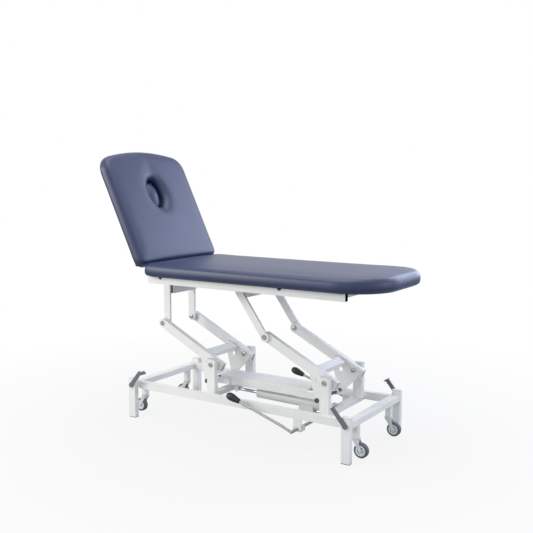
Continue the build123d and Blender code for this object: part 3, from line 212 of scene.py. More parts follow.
# The pad starts a little lower than it ends, because the foam then swells it, by 5 mm at most.
SUNK, SUNK_ABOVE = 0.002, 0.02
SWELL = 0.005
DOUBLES_WITHIN = 0.00001
FIRST_EASE, LAST_EASE = 5, 4
# The cloth simulation, and how many times its moves are then evened out.
PRESSURE, STIFFNESS = 4, 8
CLOTH_FRAMES = 20
EVENED = 30


def pad_copy(node, voxel):
    """A closed, evenly meshed copy of a CAD pad, ready to be swollen."""
    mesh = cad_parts[node].data.copy()
    mesh.name = node + "_cover"
    pad = bpy.data.objects.new(node + "_cover", mesh)
    bpy.context.collection.objects.link(pad)
    mesh.materials.clear()
    shape = bmesh.new()
    shape.from_mesh(mesh)
    bmesh.ops.remove_doubles(shape, verts=shape.verts, dist=DOUBLES_WITHIN)
    bmesh.ops.recalc_face_normals(shape, faces=shape.faces)
    shape.to_mesh(mesh)
    shape.free()
    voxels = pad.modifiers.new("even", "REMESH")
    voxels.mode = "VOXEL"
    voxels.voxel_size = voxel
    smooth(pad, FIRST_EASE)
    settle(pad)
    return pad


def smooth(pad, times):
    """Eases the small steps that an even mesh has, with a smoothing that runs a few times."""
    eased = pad.modifiers.new("eased", "SMOOTH")
    eased.factor = 0.5
    eased.iterations = times


def settle(pad):
    """Turns the modifiers of a piece into its plain mesh."""
    seen = pad.evaluated_get(bpy.context.evaluated_depsgraph_get())
    made = bpy.data.meshes.new_from_object(seen)
    made.name = pad.name
    pad.modifiers.clear()
    pad.data = made


def swell(pad, held, most):
    """Blows the foam out against the cover. The points in held stay, and none moves further than most. The
    moves are evened out from point to point, as the foam evens out the cover's folds."""
    start = [point.co.copy() for point in pad.data.vertices]
    still = {n for n, place in enumerate(start) if held(place)}
    pinned = pad.vertex_groups.new(name="held")
    pinned.add(list(still), 1, "REPLACE")
    cloth = pad.modifiers.new("cover", "CLOTH")
    cloth.settings.use_pressure = True
    cloth.settings.uniform_pressure_force = PRESSURE
    cloth.settings.effector_weights.gravity = 0
    cloth.settings.vertex_group_mass = pinned.name
    cloth.settings.quality = 4
    cloth.settings.bending_stiffness = STIFFNESS
    cloth.point_cache.frame_end = CLOTH_FRAMES
    for step in range(1, CLOTH_FRAMES + 1):
        bpy.context.scene.frame_set(step)
    settle(pad)
    bpy.context.scene.frame_set(1)
    pad.vertex_groups.clear()
    moves = [point.co - place for point, place in zip(pad.data.vertices, start)]
    moves = [move.normalized() * min(move.length, most) for move in moves]
    for _ in range(EVENED):
        sums, counts = [move.copy() for move in moves], [1] * len(moves)
        for edge in pad.data.edges:
            one, two = edge.vertices
            sums[one] += moves[two]
            sums[two] += moves[one]
            counts[one] += 1
            counts[two] += 1
        moves = [Vector() if n in still else total / counts[n] for n, total in enumerate(sums)]
    for point, place, move in zip(pad.data.vertices, start, moves):
        point.co = place + move
    finish_cover(pad)


def finish_cover(pad):
    """One smoothing and one subdivision, so that the cover has no flat facets."""
    smooth(pad, LAST_EASE)
    rounder = pad.modifiers.new("rounder", "SUBSURF")
    rounder.levels = rounder.render_levels = 1
    settle(pad)
    pad.data.polygons.foreach_set("use_smooth", [True] * len(pad.data.polygons))


# PVC upholstery cloth, embossed with a leather grain: half gloss, with soft broken highlights. The grain's
# cells are 1.3 mm across, its creases 6 mm apart, and the dye clouds over about 140 mm.
GRAIN_MM, CREASE_MM, DYE_MM = 1.3, 6, 142.86
vinyl, tree, shader, place = material(
    "embossed_pvc_upholstery", "#182951", Roughness=0.44, IOR=1.5,
    **{"Specular IOR Level": 0.6, "Coat Weight": 0.1, "Coat Roughness": 0.3})
cloud = add(tree, "ShaderNodeTexNoise", {"Scale": 1000 / DYE_MM, "Detail": 4}, {"Vector": place})
shade = add(tree, "ShaderNodeValToRGB", links={"Fac": cloud.outputs["Fac"]})
shade.color_ramp.elements[0].position = 0.3
shade.color_ramp.elements[0].color = colour("#15254B")
shade.color_ramp.elements[1].position = 0.7
shade.color_ramp.elements[1].color = colour("#1B2D57")
cells = add(tree, "ShaderNodeTexVoronoi", {"Scale": 1000 / GRAIN_MM}, {"Vector": place})
creases = add(tree, "ShaderNodeTexNoise", {"Scale": 1000 / CREASE_MM, "Detail": 5}, {"Vector": place})
height = add(tree, "ShaderNodeMath", {"operation": "MULTIPLY_ADD", 1: 0.6},
             {0: cells.outputs["Distance"], 2: creases.outputs["Fac"]})
grain = add(tree, "ShaderNodeBump", {"Strength": 0.22, "Distance": 0.0004}, {"Height": height.outputs[0]})
tree.links.new(shade.outputs["Color"], shader.inputs["Base Color"])
tree.links.new(grain.outputs["Normal"], shader.inputs["Normal"])

seat_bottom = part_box("seat_cushion")[0][2]
seat = pad_copy("seat_cushion", SEAT_VOXEL)
for point in seat.data.vertices:
    if point.co.z > seat_bottom + SUNK_ABOVE:
        point.co.z -= SUNK
swell(seat, lambda place: place.z < seat_bottom + SEAT_HELD, SWELL)
seat.data.materials.append(vinyl)
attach(seat, "top_frame")
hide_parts("seat_cushion")

# The head pad: built as the seat pad, shaped to the head section, with an oval hole whose edge is a deep
# soft roll for the face. The head section stands up at 64 degrees at rest, so the pad is shaped lying flat,
# where the hole's place and the pad's top are known, and raised again.
HEAD_TILT = math.radians(64)
HINGE = Vector((-0.493638, 0, 0.762))
HOLE_X = -0.89514
HOLE_HALF = (0.080, 0.052)
PAD_TOP = 0.804
ROLL_WIDTH, ROLL_DEPTH = 0.046, 0.030
HEAD_VOXEL = 0.0065
HEAD_SHAPED, HEAD_HELD = 0.05, 0.045


def laid_flat(place):
    """A point of the raised head section, brought down to the flat position."""
    return HINGE + turned(place - HINGE, HEAD_TILT)


def raised(place):
    """A point of the flat head section, at the height it has at rest."""
    return HINGE + turned(place - HINGE, -HEAD_TILT)


def turned(arm, angle):
    """An arm from the hinge, turned about the hinge's line."""
    c, s = math.cos(angle), math.sin(angle)
    return Vector((arm.x * c - arm.z * s, arm.y, arm.x * s + arm.z * c))


def hole_share(flat):
    """How far out a flat point lies from the hole's centre, as a share of the hole's own half sizes."""
    return math.hypot((flat.x - HOLE_X) / HOLE_HALF[0], flat.y / HOLE_HALF[1])


head = pad_copy("head_cushion", HEAD_VOXEL)
for point in head.data.vertices:
    flat = laid_flat(point.co)
    if flat.z > PAD_TOP - HEAD_SHAPED:
        ring = hole_share(flat)
        past_edge = (ring - 1) * math.hypot(flat.x - HOLE_X, flat.y) / max(ring, 0.01)
        down_roll = min(max(1 - past_edge / ROLL_WIDTH, 0), 1)
        lip = PAD_TOP - ROLL_DEPTH * (1 - math.sqrt(1 - down_roll ** 2))
        flat.z = min(flat.z, lip) - SUNK
        point.co = raised(flat)
swell(head, lambda place: laid_flat(place).z < PAD_TOP - HEAD_HELD, SWELL)
head.data.materials.append(vinyl)
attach(head, "head_section")
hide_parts("head_cushion")

# The plug that fills the face hole when it isn't used: the same foam in the same cover, with a domed top.
# It is set deep in the hole, with a small gap all round.
DOME = 0.018
GAP = 0.004
PLUG_VOXEL = 0.004
PLUG_SHAPED, PLUG_FREE = 0.02, 0.015
PLUG_SWELL = 0.0015
plug = pad_copy("face_hole_plug", PLUG_VOXEL)
plug_top = max(laid_flat(point.co).z for point in plug.data.vertices)
for point in plug.data.vertices:
    flat = laid_flat(point.co)
    ring = hole_share(flat)
    if flat.z > plug_top - PLUG_SHAPED:
        up = (flat.z - plug_top + PLUG_SHAPED) / PLUG_SHAPED
        flat.x -= (flat.x - HOLE_X) / HOLE_HALF[0] * GAP * up
        flat.y -= flat.y / HOLE_HALF[1] * GAP * up
        flat.z += DOME * up * max(1 - ring ** 2, 0)
        point.co = raised(flat)
swell(plug, lambda place: laid_flat(place).z < plug_top - PLUG_FREE, PLUG_SWELL)
plug.data.materials.append(vinyl)
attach(plug, "face_plug")
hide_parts("face_hole_plug")

# The welds of the base and top frame: MIG beads along the joints between the tubes, ground nowhere, and
# coated over with the tubes, so that each shows as a low line of ripples.
BEAD_RADIUS = 0.0022
BEAD_PITCH = 0.0026


def drawn(name, points, edges, tree, values, body, slot):
    """Runs a node tree on a set of points or lines and keeps the result as a plain mesh that rides on a body."""
    mesh = bpy.data.meshes.new(name)
    mesh.from_pydata(points, edges, [])
    piece = bpy.data.objects.new(name, mesh)
    bpy.context.collection.objects.link(piece)
    maker = piece.modifiers.new("maker", "NODES")
    maker.node_group = tree
    sockets = {item.name: item.identifier for item in tree.interface.items_tree if item.in_out == "INPUT"}
    for socket, value in values.items():
        maker[sockets[socket]] = value
    settle(piece)
    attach(piece, body)


def node_tree(name, inputs):
    """An empty geometry tree with named inputs; returns it with its input and output nodes."""
    tree = bpy.data.node_groups.new(name, "GeometryNodeTree")
    tree.interface.new_socket("Geometry", in_out="INPUT", socket_type="NodeSocketGeometry")
    for socket, kind in inputs.items():
        tree.interface.new_socket(socket, in_out="INPUT", socket_type=kind)
    tree.interface.new_socket("Geometry", in_out="OUTPUT", socket_type="NodeSocketGeometry")
    return tree, add(tree, "NodeGroupInput"), add(tree, "NodeGroupOutput")


bead_tree, given, made = node_tree("weld_bead", {
    "Ripple Pitch": "NodeSocketFloat", "Bead Radius": "NodeSocketFloat", "Finish": "NodeSocketMaterial"})
path = add(bead_tree, "GeometryNodeMeshToCurve", links={"Mesh": given.outputs["Geometry"]})
steps = add(bead_tree, "GeometryNodeResampleCurve", {"mode": "LENGTH"},
            {"Curve": path.outputs[0], "Length": given.outputs["Ripple Pitch"]})
drop = add(bead_tree, "GeometryNodeMeshIcoSphere", {"Subdivisions": 2}, {"Radius": given.outputs["Bead Radius"]})
smoothed = add(bead_tree, "GeometryNodeSetShadeSmooth", links={"Geometry": drop.outputs["Mesh"]})
laid = add(bead_tree, "GeometryNodeInstanceOnPoints",
           links={"Points": steps.outputs["Curve"], "Instance": smoothed.outputs["Geometry"]})
real = add(bead_tree, "GeometryNodeRealizeInstances", links={"Geometry": laid.outputs["Instances"]})
dressed = add(bead_tree, "GeometryNodeSetMaterial",
              links={"Geometry": real.outputs["Geometry"], "Material": given.outputs["Finish"]})
bead_tree.links.new(dressed.outputs["Geometry"], made.inputs["Geometry"])


def loops(corners):
    """Points and edges of closed lines, one for each list of corners."""
    points, edges = [], []
    for ring in corners:
        first = len(points)
        points += ring
        edges += [(first + n, first + (n + 1) % len(ring)) for n in range(len(ring))]
    return points, edges


def ring_yz(x, y0, y1, z0, z1):
    """The corners of an upright rectangle that faces along the table."""
    return [(x, y0, z0), (x, y1, z0), (x, y1, z1), (x, y0, z1)]


def ring_xz(y, x0, x1, z0, z1):
    """The corners of an upright rectangle that faces to the table's side."""
    return [(x0, y, z0), (x1, y, z0), (x1, y, z1), (x0, y, z1)]


# Where one tube ends on another, in metres: the side rails on the legs, the cross members on the side rails,
# the end rails on the legs, the posts on the cross members, and the top frame's cross tubes on its rails.
LEG_FACES = (-0.5691, 0.6069)
MEMBER_SIDES = ((-0.1912, -0.1502), (0.4380, 0.4790))
END_RAIL_SIDES = ((-0.6101, -0.5691), (0.6069, 0.6479))
POST_SIDES = ((-0.1817, -0.1502), (0.4475, 0.4790))
TOP_TUBE_SIDES = ((-0.1788, -0.1538), (0.5590, 0.5840), (-0.0156, 0.0094))
RAIL_IN, RAIL_OUT, RAIL_LOW, RAIL_HIGH = 0.213, 0.240, 0.154, 0.182
LEG_IN = 0.248
MEMBER_LOW, MEMBER_HIGH = 0.146, 0.166
POST_IN, POST_OUT = 0.1515, 0.1785
TOP_RAIL_IN, TOP_TUBE_LOW, TOP_TUBE_HIGH = 0.240, 0.7045, 0.7335
BEAD = {"Ripple Pitch": BEAD_PITCH, "Bead Radius": BEAD_RADIUS, "Finish": powder_coat}
base_joints, top_joints = [], []
for side in (-1, 1):
    for x in LEG_FACES:
        base_joints.append(ring_yz(x, side * RAIL_IN, side * RAIL_OUT, RAIL_LOW, RAIL_HIGH))
    for x0, x1 in MEMBER_SIDES:
        base_joints.append(ring_xz(side * RAIL_IN, x0, x1, MEMBER_LOW, MEMBER_HIGH))
    for x0, x1 in END_RAIL_SIDES:
        base_joints.append(ring_xz(side * LEG_IN, x0, x1, RAIL_LOW, RAIL_HIGH))
    for x0, x1 in POST_SIDES:
        base_joints.append([(x0, side * POST_IN, MEMBER_HIGH), (x1, side * POST_IN, MEMBER_HIGH),
                            (x1, side * POST_OUT, MEMBER_HIGH), (x0, side * POST_OUT, MEMBER_HIGH)])
    for x0, x1 in TOP_TUBE_SIDES:
        top_joints.append(ring_xz(side * TOP_RAIL_IN, x0, x1, TOP_TUBE_LOW, TOP_TUBE_HIGH))
drawn("base_weld_beads", *loops(base_joints), bead_tree, BEAD, "base", "frame_paint")
drawn("top_frame_weld_beads", *loops(top_joints), bead_tree, BEAD, "top_frame", "frame_paint")

# The plastic ends: white ABS caps pressed into the legs and light grey ones over the posts, thin dark
# polyamide glides under the legs, and black polyamide plugs along the top rails under the pad's edge.
CAP_EDGE, PLUG_EDGE = 0.0015, 0.001

# ABS, injection moulded: even and half dull, with a fine stipple from the mould, 0.8 mm across.
STIPPLE_MM = 0.8
white_abs, tree, shader, place = material("moulded_white_abs", "#E6E8E7", Roughness=0.42, IOR=1.53)
stipple = add(tree, "ShaderNodeTexNoise", {"Scale": 1000 / STIPPLE_MM, "Detail": 2}, {"Vector": place})
bump = add(tree, "ShaderNodeBump", {"Strength": 0.1, "Distance": 0.0002}, {"Height": stipple.outputs["Fac"]})
tree.links.new(bump.outputs["Normal"], shader.inputs["Normal"])

# The post caps' ABS: light grey, a little duller and plain, with no stipple.
grey_abs = material("moulded_grey_white_abs", "#D6D8D7", Roughness=0.45, IOR=1.53)[0]

# Glass-filled polyamide: near black, dull, with a fine spark-eroded texture, 0.7 mm across.
SPARK_MM = 0.7
polyamide, tree, shader, place = material("glass_filled_polyamide", "#1C1D1F", Roughness=0.5, IOR=1.53)
speck = add(tree, "ShaderNodeTexNoise", {"Scale": 1000 / SPARK_MM, "Detail": 3}, {"Vector": place})
rough = add(tree, "ShaderNodeMapRange", {"From Min": 0.3, "From Max": 0.7, "To Min": 0.42, "To Max": 0.6},
            {"Value": speck.outputs["Fac"]})
bump = add(tree, "ShaderNodeBump", {"Strength": 0.15, "Distance": 0.0002}, {"Height": speck.outputs["Fac"]})
tree.links.new(rough.outputs["Result"], shader.inputs["Roughness"])
tree.links.new(bump.outputs["Normal"], shader.inputs["Normal"])
dress("leg_caps", white_abs, CAP_EDGE)
dress("post_caps", grey_abs, CAP_EDGE)
dress("leg_glides", polyamide, CAP_EDGE)
dress("rail_plugs", polyamide, PLUG_EDGE)

# The pivots and axle bushes: zinc-plated steel shoulder bolts with low button heads and hexagon sockets,
# turning in off-white acetal bushes.
BOLT_EDGE, BUSH_EDGE = 0.0008, 0.0005
BUTTON_FLAT, SOCKET_TALL, SOCKET_UP = 0.0082, 0.004, 0.0026

# Zinc-plated steel: pale greenish grey and half bright, with a faint cloudy passivation about 17 mm across.
PLATING_MM = 16.667
zinc, tree, shader, place = material("zinc_plated_steel", "#B4B8B3", Metallic=1, Roughness=0.36)
cloud = add(tree, "ShaderNodeTexNoise", {"Scale": 1000 / PLATING_MM, "Detail": 4}, {"Vector": place})
rough = add(tree, "ShaderNodeMapRange", {"From Min": 0.3, "From Max": 0.7, "To Min": 0.28, "To Max": 0.46},
            {"Value": cloud.outputs["Fac"]})
shade = add(tree, "ShaderNodeValToRGB", links={"Fac": cloud.outputs["Fac"]})
shade.color_ramp.elements[0].color = colour("#A5A9A2")
shade.color_ramp.elements[1].color = colour("#C3C6C1")
tree.links.new(rough.outputs["Result"], shader.inputs["Roughness"])
tree.links.new(shade.outputs["Color"], shader.inputs["Base Color"])

# Turned acetal: waxy off-white, with fine rings from the lathe about 1 mm apart. The wave texture repeats
# every pi / 10 of its own unit.
LATHE_MM = 1.0472
acetal, tree, shader, place = material("acetal_bush", "#DEDCD2", Roughness=0.4, IOR=1.48)
rings = add(tree, "ShaderNodeTexWave", {"Scale": 100 * math.pi / LATHE_MM, "bands_direction": "Y"},
            {"Vector": place})
bump = add(tree, "ShaderNodeBump", {"Strength": 0.08, "Distance": 0.0001}, {"Height": rings.outputs["Fac"]})
tree.links.new(bump.outputs["Normal"], shader.inputs["Normal"])
for node in ("lower_pivot_bolts", "upper_pivot_bolts"):
    dress(node, zinc, BOLT_EDGE)
for node in ("pedal_axle_bushes", "head_arm_bushes", "foot_arm_bushes"):
    dress(node, acetal, BUSH_EDGE)

# The button heads: a low cone with a hexagon socket cut into it, one on the outer end of each pivot bolt.
button_tree, given, made = node_tree("button_head", {
    "Head Radius": "NodeSocketFloat", "Head Height": "NodeSocketFloat", "Socket Radius": "NodeSocketFloat",
    "Facing": "NodeSocketVector", "Plating": "NodeSocketMaterial"})
disc = add(button_tree, "GeometryNodeMeshCone", {"Vertices": 32, "Side Segments": 3, "Radius Top": BUTTON_FLAT},
           {"Radius Bottom": given.outputs["Head Radius"], "Depth": given.outputs["Head Height"]})
hexagon = add(button_tree, "GeometryNodeMeshCylinder", {"Vertices": 6, "Depth": SOCKET_TALL},
              {"Radius": given.outputs["Socket Radius"]})
lifted = add(button_tree, "GeometryNodeTransform", {"Translation": (0, 0, SOCKET_UP)},
             {"Geometry": hexagon.outputs["Mesh"]})
cut = add(button_tree, "GeometryNodeMeshBoolean", {"operation": "DIFFERENCE"},
          {"Mesh 1": disc.outputs["Mesh"], "Mesh 2": lifted.outputs["Geometry"]})
turn = add(button_tree, "FunctionNodeAlignEulerToVector", {"axis": "Z"}, {"Vector": given.outputs["Facing"]})
laid = add(button_tree, "GeometryNodeInstanceOnPoints",
           links={"Points": given.outputs["Geometry"], "Instance": cut.outputs["Mesh"],
                  "Rotation": turn.outputs["Rotation"]})
real = add(button_tree, "GeometryNodeRealizeInstances", links={"Geometry": laid.outputs["Instances"]})
dressed = add(button_tree, "GeometryNodeSetMaterial",
              links={"Geometry": real.outputs["Geometry"], "Material": given.outputs["Plating"]})
button_tree.links.new(dressed.outputs["Geometry"], made.inputs["Geometry"])
BUTTON = {"Head Radius": 0.0105, "Head Height": 0.003, "Socket Radius": 0.0046, "Plating": zinc}
# How far along and out the bolts' outer ends are, in metres, the head end's first, and how high.
LOWER_ENDS, LOWER_HIGH = ((-0.1587, 0.1825), (0.4705, 0.1825)), 0.3107
UPPER_ENDS, UPPER_HIGH = ((-0.4919, 0.1470), (0.1373, 0.1587)), 0.4761
for side, name in ((-1, "near"), (1, "far")):
    values = {**BUTTON, "Facing": (0.0, float(side), 0.0)}
    drawn(f"lower_button_heads_{name}", [(x, side * out, LOWER_HIGH) for x, out in LOWER_ENDS], [],
          button_tree, values, "base", "zinc_bolt")
    drawn(f"upper_button_heads_{name}", [(x, side * out, UPPER_HIGH) for x, out in UPPER_ENDS], [],
          button_tree, values, "top_frame", "zinc_bolt")

# The crank shafts and the castor pedals: the shafts are turned from mild steel. The pedals' axles, levers and
# bent pads are mild steel too, welded together and enamelled.
SHAFT_EDGE, PEDAL_EDGE = 0.0006, 0.001

# Oiled dark steel: dull, with a cloudy tone about 22 mm across.
OIL_MM = 22.222
dark_steel, tree, shader, place = material("oiled_dark_steel", "#5A5C60", Metallic=1, Roughness=0.42)
cloud = add(tree, "ShaderNodeTexNoise", {"Scale": 1000 / OIL_MM, "Detail": 5}, {"Vector": place})
shade = add(tree, "ShaderNodeValToRGB", links={"Fac": cloud.outputs["Fac"]})
shade.color_ramp.elements[0].color = colour("#4C4E52")
shade.color_ramp.elements[1].color = colour("#74767B")
tree.links.new(shade.outputs["Color"], shader.inputs["Base Color"])
for node in ("head_crank_shaft", "foot_crank_shaft"):
    dress(node, dark_steel, SHAFT_EDGE)

# Grey enamel: half gloss, rubbed duller by shoes in patches about 8 mm across.
RUBBED_MM = 8.3333
pedal_paint, tree, shader, place = material("grey_pedal_enamel", "#6E7075", Roughness=0.4, IOR=1.5)
worn = add(tree, "ShaderNodeTexNoise", {"Scale": 1000 / RUBBED_MM, "Detail": 4}, {"Vector": place})
rough = add(tree, "ShaderNodeMapRange", {"From Min": 0.35, "From Max": 0.7, "To Min": 0.32, "To Max": 0.5},
            {"Value": worn.outputs["Fac"]})
tree.links.new(rough.outputs["Result"], shader.inputs["Roughness"])
for node in ("head_pedal_axle", "foot_pedal_axle"):
    dress(node, pedal_paint, PEDAL_EDGE)

# The hydraulic ram: an enamelled steel cylinder with its pump block, and a rod and a plunger that slide in
# them. The gas strut's rod is dressed here too, because it has the same finish.
CYLINDER_EDGE, BLOCK_EDGE, ROD_EDGE = 0.001, 0.0015, 0.0004

# White enamel, sprayed over machined steel: glossier than the frame's coat, with a peel 2 mm across.
ENAMEL_MM = 2
ram_paint, tree, shader, place = material("white_ram_enamel", "#E4E6E3", Roughness=0.28, IOR=1.5)
peel = add(tree, "ShaderNodeTexNoise", {"Scale": 1000 / ENAMEL_MM, "Detail": 2}, {"Vector": place})
bump = add(tree, "ShaderNodeBump", {"Strength": 0.1, "Distance": 0.0002}, {"Height": peel.outputs["Fac"]})
tree.links.new(bump.outputs["Normal"], shader.inputs["Normal"])

# Hard chrome, ground and polished: nearly a mirror, with faint grinding marks about 1.4 mm across.
GRINDING_MM = 1.4286
chrome, tree, shader, place = material("hard_chromed_steel", "#D3D5D7", Metallic=1, Roughness=0.1)
lines = add(tree, "ShaderNodeTexNoise", {"Scale": 1000 / GRINDING_MM, "Detail": 2}, {"Vector": place})
rough = add(tree, "ShaderNodeMapRange", {"From Min": 0.3, "From Max": 0.7, "To Min": 0.07, "To Max": 0.15},
            {"Value": lines.outputs["Fac"]})
tree.links.new(rough.outputs["Result"], shader.inputs["Roughness"])
dress("ram_cylinder", ram_paint, CYLINDER_EDGE)
dress("pump_body", ram_paint, BLOCK_EDGE)
for node in ("ram_rod", "pump_plunger", "gas_strut_rod"):
    dress(node, chrome, ROD_EDGE)

# The pump bar: one steel rod, bent to run across the base and out past both sides, with a rubber grip pushed
# on each end. The grips are egg-shaped, with shallow rings where the foot slides off.
BAR_EDGE = 0.0005

# Drawn steel, satin: grey and half dull, with marks of the drawing about 4 mm across.
DRAWN_MM = 3.8462
satin, tree, shader, place = material("satin_grey_steel", "#A9AAAA", Metallic=1, Roughness=0.42)
drawn_marks = add(tree, "ShaderNodeTexNoise", {"Scale": 1000 / DRAWN_MM, "Detail": 3}, {"Vector": place})
rough = add(tree, "ShaderNodeMapRange", {"From Min": 0.3, "From Max": 0.7, "To Min": 0.34, "To Max": 0.52},
            {"Value": drawn_marks.outputs["Fac"]})
tree.links.new(rough.outputs["Result"], shader.inputs["Roughness"])
dress("pump_bar", satin, BAR_EDGE)

# Moulded rubber: black and half dull, with a bloom that dulls it more in patches about 11 mm across.
BLOOM_MM = 11.111
rubber, tree, shader, place = material("moulded_black_rubber", "#161618", Roughness=0.44, IOR=1.52)
bloom = add(tree, "ShaderNodeTexNoise", {"Scale": 1000 / BLOOM_MM, "Detail": 4}, {"Vector": place})
rough = add(tree, "ShaderNodeMapRange", {"From Min": 0.3, "From Max": 0.7, "To Min": 0.36, "To Max": 0.55},
            {"Value": bloom.outputs["Fac"]})
tree.links.new(rough.outputs["Result"], shader.inputs["Roughness"])


def lathed(name, origin, along, profile, sides=40):
    """A closed turned shape: a profile of (distance, radius) pairs spun about the line along."""
    along = along.normalized()
    across = Vector((0, 1, 0))
    third = along.cross(across)
    shape = bmesh.new()
    rings = []
    for far, radius in profile:
        centre = origin + along * far
        if radius == 0:
            rings.append([shape.verts.new(centre)])
            continue
        rings.append([shape.verts.new(centre + (across * math.cos(a) + third * math.sin(a)) * radius)
                      for a in (2 * math.pi * n / sides for n in range(sides))])
    for lower, upper in zip(rings, rings[1:]):
        for n in range(sides):
            corners = [lower[n % len(lower)], lower[(n + 1) % sides % len(lower)],
                       upper[(n + 1) % sides % len(upper)], upper[n % len(upper)]]
            kept = []
            for corner in corners:
                if corner not in kept:
                    kept.append(corner)
            shape.faces.new(kept)
    bmesh.ops.recalc_face_normals(shape, faces=shape.faces)
    mesh = bpy.data.meshes.new(name)
    shape.to_mesh(mesh)
    shape.free()
    mesh.polygons.foreach_set("use_smooth", [True] * len(mesh.polygons))
    piece = bpy.data.objects.new(name, mesh)
    bpy.context.collection.objects.link(piece)
    return piece


# The bar's end inside a grip, the way that the bar runs from there, and how far out to the side it is.
GRIP_TIP = (0.0254, 0.21572)
GRIP_ALONG = Vector((0.9507, 0, -0.3101))
GRIP_OUT = 0.290
# The grip's profile in millimetres, as distances along it and radii: its egg-shaped end, its ringed stretch,
# and its mouth with the hole for the bar.
GRIP_EGG = ((-6, 0), (-5.6, 4), (-4, 8), (-1, 11.8), (4, 15), (11, 17.2), (19, 18), (28, 17.6), (36, 16.6))
RINGS_LONG, RING_PITCH, RING_DEEP, RINGS_TAPER = 30, 5, 0.45, 0.17
GRIP_MOUTH = ((68, 10.2), (70, 8.8), (70, 6.3), (60, 6.3), (60, 0))
rings_from, rings_radius = GRIP_EGG[-1]
grip_rings = [
    (rings_from + step,
     rings_radius - RINGS_TAPER * step - RING_DEEP * (1 - math.cos(2 * math.pi * step / RING_PITCH)) / 2)
    for step in range(1, RINGS_LONG + 1)]
grip_profile = [(far / 1000, radius / 1000) for far, radius in (*GRIP_EGG, *grip_rings, *GRIP_MOUTH)]
for side, name in ((-1, "near"), (1, "far")):
    tip = Vector((GRIP_TIP[0], side * GRIP_OUT, GRIP_TIP[1]))
    grip = lathed(f"pump_grip_{name}", tip, GRIP_ALONG, grip_profile)
    grip.data.materials.append(rubber)
    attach(grip, "pump_pedal")
    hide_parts("pump_grips")

# The castors: pressed steel forks and swivel heads on sliding stems, nylon wheel centres, and tyres moulded
# on to them.
CASTOR_EDGE, FORK_EDGE = 0.001, 0.0008

# Bright zinc plating under a clear passivation: pale and half bright, clouded over about 12 mm.
PASSIVATION_MM = 12.5
castor_zinc, tree, shader, place = material("bright_zinc_pressing", "#F0F2F4", Metallic=0.55, Roughness=0.42)
cloud = add(tree, "ShaderNodeTexNoise", {"Scale": 1000 / PASSIVATION_MM, "Detail": 4}, {"Vector": place})
rough = add(tree, "ShaderNodeMapRange", {"From Min": 0.3, "From Max": 0.7, "To Min": 0.22, "To Max": 0.4},
            {"Value": cloud.outputs["Fac"]})
tree.links.new(rough.outputs["Result"], shader.inputs["Roughness"])

# Moulded nylon: pale grey and half dull, with soft flow marks about 29 mm across.
FLOW_MM = 28.571
wheel_nylon, tree, shader, place = material("light_grey_nylon", "#E2E5E7", Roughness=0.4, IOR=1.53)
flow = add(tree, "ShaderNodeTexNoise", {"Scale": 1000 / FLOW_MM, "Detail": 2}, {"Vector": place})
rough = add(tree, "ShaderNodeMapRange", {"From Min": 0.3, "From Max": 0.7, "To Min": 0.34, "To Max": 0.48},
            {"Value": flow.outputs["Fac"]})
tree.links.new(rough.outputs["Result"], shader.inputs["Roughness"])

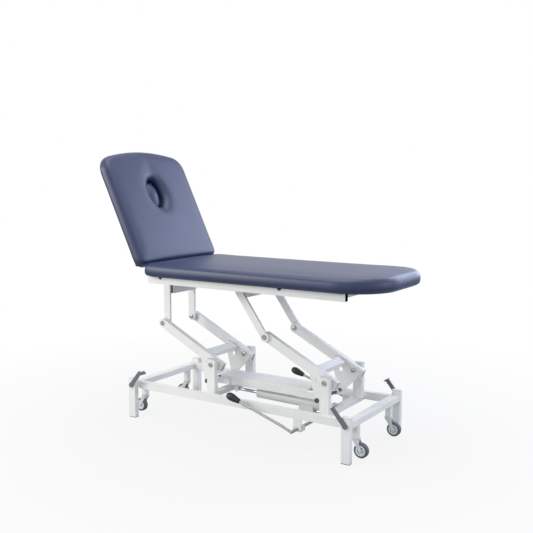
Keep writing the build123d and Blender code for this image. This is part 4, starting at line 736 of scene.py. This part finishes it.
# Thermoplastic rubber: grey and matt, scuffed by the floor in spots about 7 mm across.
SCUFF_MM = 6.6667
tyre_rubber, tree, shader, place = material("grey_thermoplastic_rubber", "#5A6166", Roughness=0.6, IOR=1.5)
scuff = add(tree, "ShaderNodeTexNoise", {"Scale": 1000 / SCUFF_MM, "Detail": 5}, {"Vector": place})
shade = add(tree, "ShaderNodeValToRGB", links={"Fac": scuff.outputs["Fac"]})
shade.color_ramp.elements[0].color = colour("#50575C")
shade.color_ramp.elements[1].color = colour("#687076")
bump = add(tree, "ShaderNodeBump", {"Strength": 0.2, "Distance": 0.0002}, {"Height": scuff.outputs["Fac"]})
tree.links.new(shade.outputs["Color"], shader.inputs["Base Color"])
tree.links.new(bump.outputs["Normal"], shader.inputs["Normal"])
for end in ("head", "foot"):
    dress(f"{end}_castor_stems", castor_zinc, CASTOR_EDGE)
    for side in ("near", "far"):
        dress(f"{end}_{side}_castor_fork", castor_zinc, FORK_EDGE)
        dress(f"{end}_{side}_castor_hub", wheel_nylon, CASTOR_EDGE)
        dress(f"{end}_{side}_castor_tyre", tyre_rubber, CASTOR_EDGE)

# The gas strut under the seat, which holds the head section up: a drawn steel tube, painted black. Its
# chromed rod is dressed with the ram's.
STRUT_EDGE = 0.0008

# Black enamel: glossy and even, with a fine peel 2 mm across.
strut_black, tree, shader, place = material("black_strut_enamel", "#17181A", Roughness=0.28, IOR=1.5)
peel = add(tree, "ShaderNodeTexNoise", {"Scale": 1000 / ENAMEL_MM, "Detail": 2}, {"Vector": place})
bump = add(tree, "ShaderNodeBump", {"Strength": 0.08, "Distance": 0.0002}, {"Height": peel.outputs["Fac"]})
tree.links.new(bump.outputs["Normal"], shader.inputs["Normal"])
dress("gas_strut_barrel", strut_black, STRUT_EDGE)

# The boards under the pads: 12 mm plywood, which the foam is glued to and the frames carry. They are
# wrapped all over in a thin black dust cloth.

# Spun polypropylene: black, dull and fibrous, with its fibres pressed together in points 2.5 mm apart.
FIBRE_MM, POINT_MM = 1.2, 2.5
dust_cloth, tree, shader, place = material("black_polypropylene_dust_cloth", "#26272A", Roughness=0.85, IOR=1.5)
fibres = add(tree, "ShaderNodeTexNoise", {"Scale": 1000 / FIBRE_MM, "Detail": 4}, {"Vector": place})
points = add(tree, "ShaderNodeTexVoronoi", {"Scale": 1000 / POINT_MM}, {"Vector": place})
shade = add(tree, "ShaderNodeValToRGB", links={"Fac": points.outputs["Distance"]})
shade.color_ramp.elements[0].color = colour("#1E1F21")
shade.color_ramp.elements[1].color = colour("#303135")
bump = add(tree, "ShaderNodeBump", {"Strength": 0.3, "Distance": 0.0003}, {"Height": fibres.outputs["Fac"]})
tree.links.new(shade.outputs["Color"], shader.inputs["Base Color"])
tree.links.new(bump.outputs["Normal"], shader.inputs["Normal"])
for node in ("seat_board", "head_board"):
    dress(node, dust_cloth)
